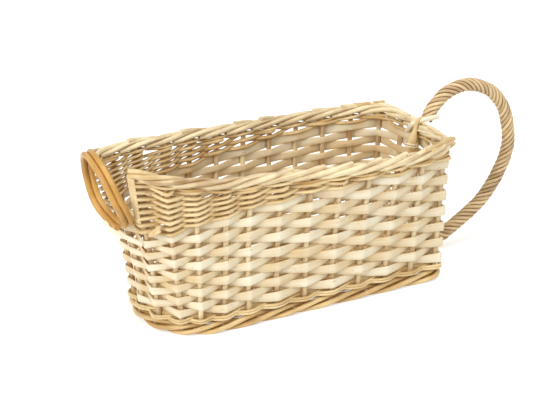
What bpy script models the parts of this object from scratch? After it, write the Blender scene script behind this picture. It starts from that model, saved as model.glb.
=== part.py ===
"""Wine bottle pouring basket woven from willow.

The wall is a loft through three plan outlines: the foot, the waist just under the pouring lip, and
the rim. Twenty-eight stakes stand on it, numbered by a station that starts at the tip of the nose,
runs along the near side (-Y) to the middle of the back and returns along the far side. Every woven
piece is placed by its station, its height and how far it stands out from the wall, so the weave
follows when an outline changes. +X points to the handle, -X to the neck of the bottle, +Z is up.
"""
import math

import bmesh
import bpy
import numpy as np

# Plan outlines, measured to the centre line of the stakes. The waist and the foot lie inside the rim.
RIM_TIP_REACH = 0.1355
RIM_BEND_REACH = 0.070
RIM_BACK_REACH = 0.126
RIM_HALF_WIDTH = 0.0468
RIM_BELLY = 0.0088
RIM_CORNER_RADIUS = 0.020
RIM_ROUNDNESS_SHARE = 3.5
WAIST_TIP_INSET = 0.016
WAIST_BEND_INSET = 0.005
WAIST_BACK_INSET = 0.002
WAIST_SIDE_INSET = 0.0005
WAIST_BELLY = 0.0062
WAIST_CORNER_RADIUS = 0.015
WAIST_ROUNDNESS_SHARE = 3.2
FOOT_TIP_INSET = 0.0275
FOOT_BEND_INSET = 0.008
FOOT_BACK_INSET = 0.007
FOOT_SIDE_INSET = 0.0013
FOOT_CORNER_RADIUS = 0.010
FOOT_ROUNDNESS_SHARE = 2.3
BELLY_SKEW_SHARE = 1.5

# Where the stakes stand along half an outline, as shares of its length from the back: evenly
# spaced along the side, then the five of the nose.
SIDE_STAKES = 9
FOOT_NOSE_SHARES = (0.691, 0.764, 0.821, 0.867, 0.929)
WAIST_NOSE_SHARES = (0.668, 0.726, 0.796, 0.854, 0.916)
RIM_NOSE_SHARES = (0.631, 0.695, 0.767, 0.830, 0.891)

# Heights. Next to the notch the hand-rolled border leaves its even rise: the near end climbs to its
# post, and the far end stays low.
RIM_BACK_HEIGHT = 0.1065
WAIST_DROP = 0.0265
RIM_RISE = 0.020
RIM_RISE_SHARE = 2.1
NEAR_POST_LIFT = 0.0042
NEAR_LIFT_SHARES = (1.0, 0.43, -0.12, -0.74, -0.33, 0.0)
FAR_POST_DROP = 0.0067
FAR_DROP_SHARES = (1.0, 1.0, 0.55, 0.24, 0.0)
SKEIN_BACK_INSET = 0.0089
SKEIN_DROP = 0.0176
SKEIN_DROP_SHARE = 2.9

# Rods and skeins.
CLEARANCE = 0.0003
STAKE_RADIUS = 0.0019
STAKE_TIP_RADIUS = 0.0018
STAKE_SAG = 0.00015
BORDER_END_RADIUS = 0.0015
BORDER_RODS = 4
BORDER_LAST_SHARE = 0.7
BORDER_STEPS = 3
BORDER_START_REACH = 0.0036
BORDER_BEND_RADIUS = 0.0032
SKEIN_THICKNESS = 0.0013
SKEIN_ROWS = 13
ROD_RADIUS_MAX = 0.00115
ROD_GAP = 0.00035
TURN_SHARES = ((0.72, 0.78, 0.2), (1.08, 0.0, 0.5), (0.72, -0.78, 0.8))
LIP_ROD_RADIUS = 0.0015
WALE_ROD_RADIUS = 0.0016
FOOT_ROD_RADIUS = 0.00185
FOOT_RODS = 3
FOOT_TURNS = 7
FOOT_POINTS_PER_TURN = 7
FLOOR_CUT = 0.0005
BASE_ROUNDS = 12
BASE_ROD_RADIUS = 0.0014
BASE_WAVE = 0.0008
BASE_VALLEY_SHARE = 0.3
BASE_HEART_SHARE = 0.03
BASE_SPINE_FRONT_INSET = 0.040
BASE_SPINE_BACK_INSET = 0.040

# The packing of thin rods: pairs of rows, each with the last station that it reaches.
LOOP_LAST_STATION = 8
PACKING_LAST_STATIONS = (6, 5, 4, 3, 3, 2)

# Handle.
HANDLE_REACH = 0.0837
HANDLE_RISE = 0.0257
HANDLE_GROUND_CLEARANCE = 0.0039
ROPE_RADIUS = 0.0053
ROPE_STRANDS = 7
ROPE_LEAD = 0.031
ROPE_GROOVE = 0.0009
ROPE_STATIONS_PER_TURN = 6
ROPE_START_REACH = 0.0091
ROPE_START_RISE = 0.0073
ROPE_ROUTE_SHARES = (
    (0.128, 0.874), (0.200, 0.927), (0.256, 0.959), (0.335, 0.984), (0.438, 1.0), (0.525, 0.999),
    (0.613, 0.985), (0.703, 0.958), (0.794, 0.917), (0.876, 0.853), (0.930, 0.793), (0.968, 0.715),
    (0.993, 0.623), (0.998, 0.568), (0.988, 0.515), (0.966, 0.462), (0.935, 0.412), (0.896, 0.362),
    (0.852, 0.313), (0.801, 0.265), (0.743, 0.218), (0.668, 0.173), (0.575, 0.130), (0.468, 0.086),
    (0.370, 0.048), (0.289, 0.019), (0.200, 0.004))
CORE_RADIUS = 0.0036
CORE_TIP_RADIUS = 0.0022
CORE_NECK_RADIUS = 0.0016
CORE_TUCK = 0.019
CORE_SIDE_REACH = 0.006
LASHING_RADIUS = 0.0006
LASHING_TURNS = 2
LASHING_TURN_GAP = 0.0006
LASHING_DROP = 0.0045

# Neck ring.
RING_RADIUS = 0.0286
RING_ROD_RADIUS = 0.0020
RING_TURNS = 2
RING_TURN_GAP = 0.00045
RING_LEAN = math.radians(20.0)
RING_YAW = math.radians(13.0)
RING_START = math.radians(-14.0)
RING_END_GAP = math.radians(8.0)
RING_SEAT_RISE = 0.0047
RING_POINTS_PER_TURN = 24
RING_STEP_SHARE = 0.78
RING_SEAT_GAP = 0.0022
RING_LEAD = 0.0354
RING_SIDE_REACH = 0.006
HOLDER_RADIUS = 0.0012
HOLDER_ROW = 11
HOLDER_SHARES = (
    (-1.0, 0.0, 1.0), (-0.6, 0.45, 0.5), (-0.25, 1.0, 0.12), (0.0, 1.0, 0.06),
    (0.25, 1.0, 0.34), (0.6, 0.45, 0.62), (1.0, 0.0, 1.0))

HALF_STATIONS = SIDE_STAKES + len(RIM_NOSE_SHARES)
STATIONS = 2 * HALF_STATIONS
NEAR_POST = 1
FAR_POST = STATIONS - 1
BACK_STATION = HALF_STATIONS

WAIST_HEIGHT = RIM_BACK_HEIGHT - WAIST_DROP
SKEIN_BACK_HEIGHT = RIM_BACK_HEIGHT - SKEIN_BACK_INSET
WAIST_TIP_REACH = RIM_TIP_REACH - WAIST_TIP_INSET
WAIST_BEND_REACH = RIM_BEND_REACH - WAIST_BEND_INSET
WAIST_BACK_REACH = RIM_BACK_REACH - WAIST_BACK_INSET
WAIST_HALF_WIDTH = RIM_HALF_WIDTH - WAIST_SIDE_INSET
FOOT_TIP_REACH = RIM_TIP_REACH - FOOT_TIP_INSET
FOOT_BEND_REACH = RIM_BEND_REACH - FOOT_BEND_INSET
FOOT_BACK_REACH = RIM_BACK_REACH - FOOT_BACK_INSET
FOOT_HALF_WIDTH = RIM_HALF_WIDTH - FOOT_SIDE_INSET
FOOT_CHORD_SHARE = math.sin(math.pi / FOOT_RODS) * math.cos(math.pi / FOOT_POINTS_PER_TURN)
FOOT_RING_RADIUS = (FOOT_ROD_RADIUS + CLEARANCE / 2) / FOOT_CHORD_SHARE
FOOT_HEIGHT = 2 * (FOOT_RING_RADIUS + FOOT_ROD_RADIUS) - FLOOR_CUT
FOOT_CENTRE_HEIGHT = FOOT_RING_RADIUS + FOOT_ROD_RADIUS - FLOOR_CUT
BORDER_RING_RADIUS = 1.05 * (STAKE_TIP_RADIUS + CLEARANCE / 2) / math.sin(math.pi / BORDER_RODS)
BORDER_OUTER_RADIUS = BORDER_RING_RADIUS + STAKE_TIP_RADIUS
WALE_SPREAD = STAKE_RADIUS + CLEARANCE + WALE_ROD_RADIUS
WALE_LIFT = WALE_ROD_RADIUS + CLEARANCE / 2
WALE_HEIGHT = FOOT_HEIGHT + CLEARANCE + WALE_LIFT + WALE_ROD_RADIUS
SKEIN_START_HEIGHT = WALE_HEIGHT + WALE_LIFT + WALE_ROD_RADIUS + CLEARANCE
SKEIN_SPREAD = STAKE_RADIUS + CLEARANCE + SKEIN_THICKNESS / 2
WALL_OUTER = SKEIN_SPREAD + SKEIN_THICKNESS / 2
BASE_UNDERSIDE_HEIGHT = FOOT_HEIGHT + CLEARANCE
BASE_MIDDLE_HEIGHT = BASE_UNDERSIDE_HEIGHT + BASE_ROD_RADIUS + BASE_WAVE
BASE_INSET = WALE_SPREAD + WALE_ROD_RADIUS + CLEARANCE
WALL_DEPTH = STAKE_RADIUS + CLEARANCE + 2 * ROD_RADIUS_MAX
HANDLE_TOP_HEIGHT = RIM_BACK_HEIGHT + HANDLE_RISE
HANDLE_LOW_HEIGHT = ROPE_RADIUS + HANDLE_GROUND_CLEARANCE
STAKE_FOOT_HEIGHT = FOOT_HEIGHT + CLEARANCE

WILLOW_SKEIN = ("willow skein", (0.86, 0.74, 0.50), 0.45)
WILLOW_ROD = ("willow rod", (0.72, 0.50, 0.24), 0.50)
WILLOW_STAKE = ("willow stake", (0.60, 0.39, 0.19), 0.55)
WILLOW_FOOT = ("willow foot rod", (0.66, 0.42, 0.18), 0.50)
WILLOW_HANDLE = ("willow handle", (0.60, 0.38, 0.19), 0.50)
RATTAN_RING = ("rattan ring", (0.62, 0.33, 0.08), 0.40)


def clear_scene():
    for item in list(bpy.data.objects):
        bpy.data.objects.remove(item, do_unlink=True)


def new_collection(name):
    collection = bpy.data.collections.new(name)
    bpy.context.scene.collection.children.link(collection)
    return collection


def material(look):
    name, colour, roughness = look
    found = bpy.data.materials.get(name)
    if found:
        return found
    made = bpy.data.materials.new(name)
    made.use_nodes = True
    shader = made.node_tree.nodes["Principled BSDF"]
    shader.inputs["Base Color"].default_value = (*colour, 1.0)
    shader.inputs["Roughness"].default_value = roughness
    shader.inputs["Metallic"].default_value = 0.0
    return made


def half_outline(tip, bend, back, half, belly, corner, roundness):
    """Near half of a plan outline from the middle of the back to the tip of the nose."""
    def side(x):
        share = max((x + bend) / (back + bend), 0.0)
        return half + belly * math.sin(math.pi * share ** BELLY_SKEW_SHARE)

    corner_x = back - corner
    corner_y = side(corner_x) - corner
    points = [(back, 0.0)]
    for step in range(41):
        turn = 0.5 * math.pi * step / 40
        points.append((corner_x + corner * math.cos(turn), -corner_y - corner * math.sin(turn)))
    for step in range(1, 121):
        x = corner_x - (corner_x + bend) * step / 120
        points.append((x, -side(x)))
    for step in range(1, 121):
        turn = 0.5 * math.pi * step / 120
        reach = (tip - bend) * math.sin(turn) ** (2 / roundness)
        width = half * max(math.cos(turn), 0.0) ** (2 / roundness)
        points.append((-bend - reach, -width))
    points = np.array(points)
    run = np.concatenate(([0.0], np.cumsum(np.linalg.norm(np.diff(points, axis=0), axis=1))))
    return points, run


FOOT_OUTLINE = half_outline(FOOT_TIP_REACH, FOOT_BEND_REACH, FOOT_BACK_REACH, FOOT_HALF_WIDTH,
                            0.0, FOOT_CORNER_RADIUS, FOOT_ROUNDNESS_SHARE)
WAIST_OUTLINE = half_outline(WAIST_TIP_REACH, WAIST_BEND_REACH, WAIST_BACK_REACH,
                             WAIST_HALF_WIDTH, WAIST_BELLY, WAIST_CORNER_RADIUS,
                             WAIST_ROUNDNESS_SHARE)
RIM_OUTLINE = half_outline(RIM_TIP_REACH, RIM_BEND_REACH, RIM_BACK_REACH, RIM_HALF_WIDTH,
                           RIM_BELLY, RIM_CORNER_RADIUS, RIM_ROUNDNESS_SHARE)


def stake_shares(nose_shares):
    """Shares of the half outline at which its stakes stand, from the middle of the back."""
    sides = [nose_shares[0] * count / SIDE_STAKES for count in range(SIDE_STAKES)]
    return sides + list(nose_shares) + [1.0]


FOOT_SHARES = stake_shares(FOOT_NOSE_SHARES)
WAIST_SHARES = stake_shares(WAIST_NOSE_SHARES)
RIM_SHARES = stake_shares(RIM_NOSE_SHARES)


def outline_point(outline, shares, station):
    """Plan point of a station: 0 at the tip, half way at the middle of the back."""
    wrapped = station % STATIONS
    side = 1.0
    if wrapped > HALF_STATIONS:
        wrapped = STATIONS - wrapped
        side = -1.0
    points, run = outline
    share = np.interp(HALF_STATIONS - wrapped, range(len(shares)), shares)
    x = np.interp(share * run[-1], run, points[:, 0])
    y = np.interp(share * run[-1], run, points[:, 1])
    return np.array([x, side * y])


def forward_share(station):
    """0 at the back of the rim, 1 at the notch posts."""
    post = outline_point(RIM_OUTLINE, RIM_SHARES, NEAR_POST)[0]
    x = outline_point(RIM_OUTLINE, RIM_SHARES, station)[0]
    return (RIM_BACK_REACH - x) / (RIM_BACK_REACH - post)


def end_lift(station):
    """How far the border's two ends leave the even rise of the rim."""
    near = [(NEAR_POST + count, NEAR_POST_LIFT * share)
            for count, share in enumerate(NEAR_LIFT_SHARES)]
    far = [(-NEAR_POST - count, -FAR_POST_DROP * share)
           for count, share in enumerate(FAR_DROP_SHARES)]
    places, lifts = zip(*(far[::-1] + near))
    return np.interp((station + HALF_STATIONS) % STATIONS - HALF_STATIONS, places, lifts)


def rim_height(station):
    rise = RIM_RISE * forward_share(station) ** RIM_RISE_SHARE
    return RIM_BACK_HEIGHT + rise + end_lift(station)


def skein_top_height(station):
    share = min(forward_share(station), 1.0)
    return SKEIN_BACK_HEIGHT - SKEIN_DROP * share ** SKEIN_DROP_SHARE


def wall_centre(station, height):
    """Point of the stake surface, on a parabola through the three outlines."""
    low = FOOT_CENTRE_HEIGHT
    middle = WAIST_HEIGHT
    high = rim_height(station)
    foot = outline_point(FOOT_OUTLINE, FOOT_SHARES, station)
    waist = outline_point(WAIST_OUTLINE, WAIST_SHARES, station)
    rim = outline_point(RIM_OUTLINE, RIM_SHARES, station)
    plan = foot * (height - middle) * (height - high) / ((low - middle) * (low - high))
    plan = plan + waist * (height - low) * (height - high) / ((middle - low) * (middle - high))
    plan = plan + rim * (height - low) * (height - middle) / ((high - low) * (high - middle))
    return np.array([plan[0] - PLAN_CENTRE, plan[1], height])


def wall_frame(station, height):
    """Centre, outward normal and upward tangent of the wall."""
    step = 0.05
    rise = CLEARANCE
    along = wall_centre(station + step, height) - wall_centre(station - step, height)
    up = wall_centre(station, height + rise) - wall_centre(station, height - rise)
    up = up / np.linalg.norm(up)
    out = np.cross(along, up)
    return wall_centre(station, height), out / np.linalg.norm(out), up


def wall_point(station, height, out=0.0):
    centre, normal, up = wall_frame(station, height)
    return centre + normal * out


def clear_out(station, height, side, spread, step=1.0, next_share=-1.0):
    """Distance off the wall at a stake, so that the straight runs to the next places clear it."""
    centre, normal, up = wall_frame(station, height)
    here = centre + normal * side * spread
    least = 1.0
    for way in (-step, step):
        other, other_normal, other_up = wall_frame(station + way, height)
        run = other + other_normal * side * spread * next_share - here
        share = abs(run @ normal) / np.linalg.norm(run)
        least = min(least, math.sqrt(1 - share ** 2))
    return side * spread / least


FRONT_REACH = WAIST_TIP_REACH + RING_LEAD
REAR_REACH = RIM_BACK_REACH + HANDLE_REACH + ROPE_RADIUS
PLAN_CENTRE = (REAR_REACH - FRONT_REACH) / 2


def station_pitch(station, height):
    """Length along the wall from one station to the next."""
    half = 0.5
    return np.linalg.norm(wall_centre(station + half, height) - wall_centre(station - half, height))


def rod(name, points, radii, look, resolution=0, closed=False):
    """A willow rod: a poly curve with a round bevel and filled ends."""
    curve = bpy.data.curves.new(name, "CURVE")
    curve.dimensions = "3D"
    curve.bevel_depth = 1.0
    curve.bevel_resolution = resolution
    curve.use_fill_caps = not closed
    spline = curve.splines.new("POLY")
    spline.points.add(len(points) - 1)
    for index, point in enumerate(points):
        spline.points[index].co = (*point, 1.0)
        spline.points[index].radius = radii if np.isscalar(radii) else radii[index]
    spline.use_cyclic_u = closed
    made = bpy.data.objects.new(name, curve)
    made.data.materials.append(material(look))
    PARTS.objects.link(made)
    return made


def loft(name, rings, look, closed):
    """A closed body through sections of equal count, capped unless it is a ring itself."""
    mesh = bmesh.new()
    rows = [[mesh.verts.new(point) for point in ring] for ring in rings]
    count = len(rows[0])
    for index in range(len(rows) if closed else len(rows) - 1):
        here = rows[index]
        there = rows[(index + 1) % len(rows)]
        for corner in range(count):
            after = (corner + 1) % count
            mesh.faces.new((here[corner], here[after], there[after], there[corner]))
    if not closed:
        mesh.faces.new(rows[0][::-1])
        mesh.faces.new(rows[-1])
    bmesh.ops.recalc_face_normals(mesh, faces=mesh.faces)
    data = bpy.data.meshes.new(name)
    mesh.to_mesh(data)
    mesh.free()
    made = bpy.data.objects.new(name, data)
    made.data.materials.append(material(look))
    PARTS.objects.link(made)
    return made


def as_mesh(item):
    """Turn a curve object into a mesh object with its caps welded."""
    graph = bpy.context.evaluated_depsgraph_get()
    data = bpy.data.meshes.new_from_object(item.evaluated_get(graph))
    name = item.name
    matrix = item.matrix_world.copy()
    look = item.data.materials[0]
    bpy.data.objects.remove(item, do_unlink=True)
    mesh = bmesh.new()
    mesh.from_mesh(data)
    bmesh.ops.remove_doubles(mesh, verts=mesh.verts, dist=CLEARANCE / 30)
    mesh.to_mesh(data)
    mesh.free()
    data.materials.clear()
    data.materials.append(look)
    made = bpy.data.objects.new(name, data)
    made.matrix_world = matrix
    PARTS.objects.link(made)
    return made


def cut(item, cutter):
    change = item.modifiers.new("cut", "BOOLEAN")
    change.operation = "DIFFERENCE"
    change.solver = "EXACT"
    change.object = cutter


def rim_frame(station):
    """Centre of the border, its outward and its upward direction."""
    centre, normal, up = wall_frame(station, rim_height(station))
    return centre, normal, up


def border_point(station, phase):
    """Point on the ring of border rods; phase 0 is below, a quarter turn is outside."""
    centre, normal, up = rim_frame(station)
    turn = 0.5 * math.pi * phase
    return centre + BORDER_RING_RADIUS * (normal * math.sin(turn) - up * math.cos(turn))


def border_tail(first, start, stop):
    """Points of a border rod that rose at station first, between two stations."""
    first_step = math.ceil(BORDER_STEPS * start + 0.3)
    last_step = math.floor(BORDER_STEPS * stop - 0.3)
    shared = [step / BORDER_STEPS for step in range(first_step, last_step + 1)]
    places = [start] + shared + [stop]
    return [border_point(place, place - first) for place in places]


def stake_heights(station, low, high):
    """Heights at which a stake is bent, more of them where the wall is bowed."""
    chord = (wall_centre(station, low) + wall_centre(station, high)) / 2
    bow = np.linalg.norm(wall_centre(station, (low + high) / 2) - chord)
    count = max(2, math.ceil(math.sqrt(bow / STAKE_SAG)))
    return [low + (high - low) * step / count for step in range(count + 1)]


def build_stake(station):
    """A stake from the foot to the rim, bent down to the right into the rolled border."""
    rim = rim_height(station)
    joint = rim - BORDER_RING_RADIUS
    heights = stake_heights(station, STAKE_FOOT_HEIGHT, joint - BORDER_BEND_RADIUS)
    points = [wall_point(station, height) for height in heights]
    radii = [STAKE_RADIUS] * (len(heights) - 1) + [STAKE_TIP_RADIUS]
    if station < FAR_POST:
        pitch = station_pitch(station, rim)
        bend = BORDER_BEND_RADIUS / pitch
        lift = BORDER_BEND_RADIUS * (1 - math.sqrt(0.5))
        points.append(wall_point(station + bend * (1 - math.sqrt(0.5)), joint - lift))
        radii.append(STAKE_TIP_RADIUS)
        stop = min(station + BORDER_RODS - 1 + BORDER_LAST_SHARE, FAR_POST + bend)
        tail = border_tail(station, station + bend, stop)
        points += tail
        span = max(len(tail) - 1, 1)
        radii += [STAKE_TIP_RADIUS + (BORDER_END_RADIUS - STAKE_TIP_RADIUS) * step / span
                  for step in range(len(tail))]
    rod(f"stake_{station:02d}", points, radii, WILLOW_STAKE, resolution=1)


def build_starters():
    """Border rods that begin at the near post, where no stake stands before it."""
    reach = BORDER_START_REACH / station_pitch(NEAR_POST, rim_height(NEAR_POST))
    for count in (1, 2):
        first = NEAR_POST - count
        stop = first + BORDER_RODS - 1 + BORDER_LAST_SHARE
        points = border_tail(first, NEAR_POST - reach, stop)
        rod(f"border_rod_{count}", points, BORDER_END_RADIUS, WILLOW_ROD, resolution=1)


def skein_pitch(station):
    return (skein_top_height(station) - SKEIN_START_HEIGHT) / SKEIN_ROWS


def build_skein_row(row):
    """A flat skein woven in front of one stake and behind the next, all the way round."""
    rings = []
    for station in range(STATIONS):
        pitch = skein_pitch(station)
        height = SKEIN_START_HEIGHT + pitch * (row + 0.5)
        side = 1 if (station + row) % 2 == 0 else -1
        centre, normal, up = wall_frame(station, height)
        middle = centre + normal * clear_out(station, height, side, SKEIN_SPREAD)
        across = normal * SKEIN_THICKNESS / 2
        along = up * (pitch - CLEARANCE) / 2
        rings.append([middle - across - along, middle + across - along,
                      middle + across + along, middle - across + along])
    loft(f"skein_row_{row + 1:02d}", rings, WILLOW_SKEIN, closed=True)


def packing_rows(station):
    """How many thin rods lie above the skeins at a station."""
    place = min(station % STATIONS, STATIONS - station % STATIONS)
    if place > LOOP_LAST_STATION:
        return 2
    reached = [last for last in PACKING_LAST_STATIONS if last >= max(place, NEAR_POST)]
    return 4 + 2 * len(reached)


def stake_pitch(stop):
    """Height that one thin rod takes at a stake; the nose stake takes the mean of the posts."""
    posts = (NEAR_POST, FAR_POST) if stop % STATIONS == 0 else (stop,)
    rim = sum(rim_height(post) for post in posts) / len(posts)
    room = rim - BORDER_OUTER_RADIUS - ROD_GAP - skein_top_height(stop)
    return room / packing_rows(stop)


def packing_pitch(station):
    whole = math.floor(station)
    share = station - whole
    return stake_pitch(whole) * (1 - share) + stake_pitch(whole + 1) * share


def packing_radius(station):
    return min(ROD_RADIUS_MAX, (packing_pitch(station) - ROD_GAP) / 2)


def packing_height(station, row):
    return skein_top_height(station) + packing_pitch(station) * (row + 0.5)


def packing_spread(station):
    return STAKE_RADIUS + CLEARANCE + packing_radius(station)


def woven_spot(station, row):
    """A place where a thin rod passes a stake, and its radius there."""
    side = 1 if (station + row) % 2 == 0 else -1
    height = packing_height(station, row)
    out = clear_out(station, height, side, packing_spread(station))
    return wall_point(station, height, out), packing_radius(station)


def turn_spots(station, row, way):
    """Places of a rod that goes round the stake at a station, up from a row to the next."""
    side = 1 if (station + row) % 2 == 0 else -1
    pitch = station_pitch(station, packing_height(station, row))
    spots = []
    for along_share, out_share, rise_share in TURN_SHARES:
        spread = packing_spread(station)
        place = station + way * spread * along_share / pitch
        height = packing_height(place, row + rise_share)
        spots.append((wall_point(place, height, side * spread * out_share),
                      packing_radius(station)))
    return spots


def packing_rod(name, spots, closed):
    points = [spot[0] for spot in spots]
    radii = [spot[1] for spot in spots]
    rod(name, points, radii, WILLOW_ROD, closed=closed)


def build_packing_ring(row):
    packing_rod(f"packing_ring_{row + 1}", [woven_spot(place, row) for place in range(STATIONS)],
                closed=True)


def build_packing_loop():
    """One rod that runs round the nose, turns at a stake on each side and comes back."""
    last = LOOP_LAST_STATION
    low = 2
    forth = list(range(-last, last + 1))
    spots = [woven_spot(station, low) for station in forth]
    spots += turn_spots(last, low, 1)
    spots += [woven_spot(station, low + 1) for station in forth[::-1]]
    spots += turn_spots(-last, low, -1)[::-1]
    packing_rod("packing_loop", spots, closed=True)


def build_packing_side(name, post, way):
    """One rod that goes to and fro beside the notch, each pair of rows shorter than the last."""
    row = 4
    spots = []
    for last in PACKING_LAST_STATIONS:
        forth = [post + way * count for count in range(last)]
        spots += [woven_spot(station, row) for station in forth]
        spots += turn_spots(forth[-1], row, way)
        spots += [woven_spot(station, row + 1) for station in forth[::-1]]
        if last != PACKING_LAST_STATIONS[-1]:
            spots += turn_spots(post, row + 1, -way)
        row += 2
    packing_rod(name, spots, closed=False)


def build_lip():
    """The rod that closes the lip between the notch posts, with the nose stake under it."""
    lift = LIP_ROD_RADIUS + CLEARANCE
    places = [-0.70, -0.5, -0.25, 0.0, 0.25, 0.5, 0.70]
    points = [wall_point(place, packing_height(place, 3.5) + lift) for place in places]
    rod("lip_rod", points, LIP_ROD_RADIUS, WILLOW_ROD, resolution=1)
    top = packing_height(0, 3.5) - CLEARANCE
    points = [wall_point(0, height) for height in stake_heights(0, STAKE_FOOT_HEIGHT, top)]
    rod("stake_00", points, STAKE_RADIUS, WILLOW_STAKE, resolution=1)


def build_wale():
    """Two rods twined round each other between the stakes, above the foot."""
    for strand in range(2):
        points = []
        for half in range(2 * STATIONS):
            station = half / 2
            turn = math.pi * (station + strand)
            centre, normal, up = wall_frame(station, WALE_HEIGHT)
            out = WALE_SPREAD * math.cos(turn)
            if half % 2 == 0:
                out = clear_out(station, WALE_HEIGHT, math.cos(turn), WALE_SPREAD, 0.5, 0.0)
            points.append(centre + normal * out + up * WALE_LIFT * math.sin(turn))
        rod(f"wale_rod_{strand + 1}", points, WALE_ROD_RADIUS, WILLOW_ROD, closed=True)


def build_foot(floor):
    """The foot: three rods rolled round each other and cut flat where they stand."""
    count = FOOT_TURNS * FOOT_POINTS_PER_TURN
    for strand in range(FOOT_RODS):
        points = []
        for index in range(count):
            station = STATIONS * index / count
            turn = 2 * math.pi * (index / FOOT_POINTS_PER_TURN + strand / FOOT_RODS)
            centre, normal, up = wall_frame(station, FOOT_CENTRE_HEIGHT)
            level = np.array([normal[0], normal[1], 0.0])
            level = level / np.linalg.norm(level)
            points.append(centre + FOOT_RING_RADIUS * level * math.cos(turn)
                          + np.array([0.0, 0.0, FOOT_RING_RADIUS * math.sin(turn)]))
        item = rod(f"foot_rod_{strand + 1}", points, FOOT_ROD_RADIUS, WILLOW_FOOT, 1, closed=True)
        cut(as_mesh(item), floor)


def floor_cutter():
    size = 4 * RIM_BACK_REACH
    bpy.ops.mesh.primitive_cube_add(size=size, location=(0.0, 0.0, -size / 2))
    cutter = bpy.context.active_object
    cutter.name = "floor_cutter"
    for owner in list(cutter.users_collection):
        owner.objects.unlink(cutter)
    CUTTERS.objects.link(cutter)
    cutter.hide_render = True
    cutter.display_type = "WIRE"
    return cutter


def base_ring(share, wave, face):
    """Outline of the base mat drawn in towards its spine, on the upper or the lower face."""
    front = BASE_SPINE_FRONT_INSET - FOOT_TIP_REACH + BASE_INSET - PLAN_CENTRE
    back = FOOT_BACK_REACH - BASE_INSET - BASE_SPINE_BACK_INSET - PLAN_CENTRE
    ring = []
    for station in range(STATIONS):
        point = wall_point(station, BASE_MIDDLE_HEIGHT, -BASE_INSET)
        spine = min(max(point[0], front), back)
        height = BASE_MIDDLE_HEIGHT + wave * math.cos(math.pi * station) + face
        ring.append((spine + (point[0] - spine) * share, point[1] * share, height))
    return ring


def build_base():
    """The base mat: rounds of rods woven over and under the stakes of the base."""
    valley = BASE_ROD_RADIUS * BASE_VALLEY_SHARE
    upper = [base_ring(1.0, 0.0, valley)]
    lower = [base_ring(1.0, 0.0, -valley)]
    for count in range(BASE_ROUNDS):
        wave = BASE_WAVE if count % 2 == 0 else -BASE_WAVE
        for half, lift, face in ((1, wave, BASE_ROD_RADIUS), (2, 0.0, valley)):
            lap = (2 * count + half) / (2 * BASE_ROUNDS)
            share = 1 - lap * (1 - BASE_HEART_SHARE)
            upper.append(base_ring(share, lift, face))
            lower.append(base_ring(share, lift, -face))
    loft("base_mat", lower[::-1] + upper, WILLOW_ROD, closed=False)


def smooth_route(points, spacing):
    """Evenly spaced points on a smooth curve through the route's points."""
    points = np.array(points)
    padded = np.vstack([2 * points[0] - points[1], points, 2 * points[-1] - points[-2]])
    fine = []
    for index in range(1, len(padded) - 2):
        before, start, end, after = padded[index - 1:index + 3]
        for step in range(24):
            t = step / 24
            fine.append(0.5 * (2 * start + (end - before) * t
                               + (2 * before - 5 * start + 4 * end - after) * t ** 2
                               + (3 * start - before - 3 * end + after) * t ** 3))
    fine.append(points[-1])
    fine = np.array(fine)
    run = np.concatenate(([0.0], np.cumsum(np.linalg.norm(np.diff(fine, axis=0), axis=1))))
    count = max(2, int(round(run[-1] / spacing)))
    places = np.linspace(0.0, run[-1], count + 1)
    route = np.stack([np.interp(places, run, fine[:, axis]) for axis in range(3)], axis=1)
    return route, places


def handle_place(shares):
    x = RIM_BACK_REACH + HANDLE_REACH * shares[0] - PLAN_CENTRE
    rise = (HANDLE_TOP_HEIGHT - HANDLE_LOW_HEIGHT) * shares[1]
    return np.array([x, 0.0, HANDLE_LOW_HEIGHT + rise])


def build_rope():
    """The bow of the handle: seven rods twisted round it, as a fluted and twisted bundle."""
    start = rim_frame(BACK_STATION)[0] + np.array([ROPE_START_REACH, 0.0, ROPE_START_RISE])
    foot_end = wall_point(BACK_STATION, HANDLE_LOW_HEIGHT, BASE_INSET)
    route = [start] + [handle_place(shares) for shares in ROPE_ROUTE_SHARES]
    route.append(np.array([foot_end[0], 0.0, HANDLE_LOW_HEIGHT]))
    points, places = smooth_route(route, ROPE_LEAD / ROPE_STATIONS_PER_TURN)
    sideways = np.array([0.0, 1.0, 0.0])
    rings = []
    for index, point in enumerate(points):
        ahead = points[min(index + 1, len(points) - 1)]
        behind = points[max(index - 1, 0)]
        along = (ahead - behind) / np.linalg.norm(ahead - behind)
        if index == len(points) - 1:
            along = np.array([-1.0, 0.0, 0.0])
        across = np.cross(along, sideways)
        twist = 2 * math.pi * places[index] / ROPE_LEAD
        ring = []
        for corner in range(2 * ROPE_STRANDS):
            turn = math.pi * corner / ROPE_STRANDS + twist
            reach = ROPE_RADIUS - ROPE_GROOVE * (corner % 2)
            ring.append(point + reach * (across * math.cos(turn) + sideways * -math.sin(turn)))
        rings.append(ring)
    loft("handle_rope", rings, WILLOW_HANDLE, closed=False)
    return points[0], (points[1] - points[0]) / np.linalg.norm(points[1] - points[0])


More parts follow.
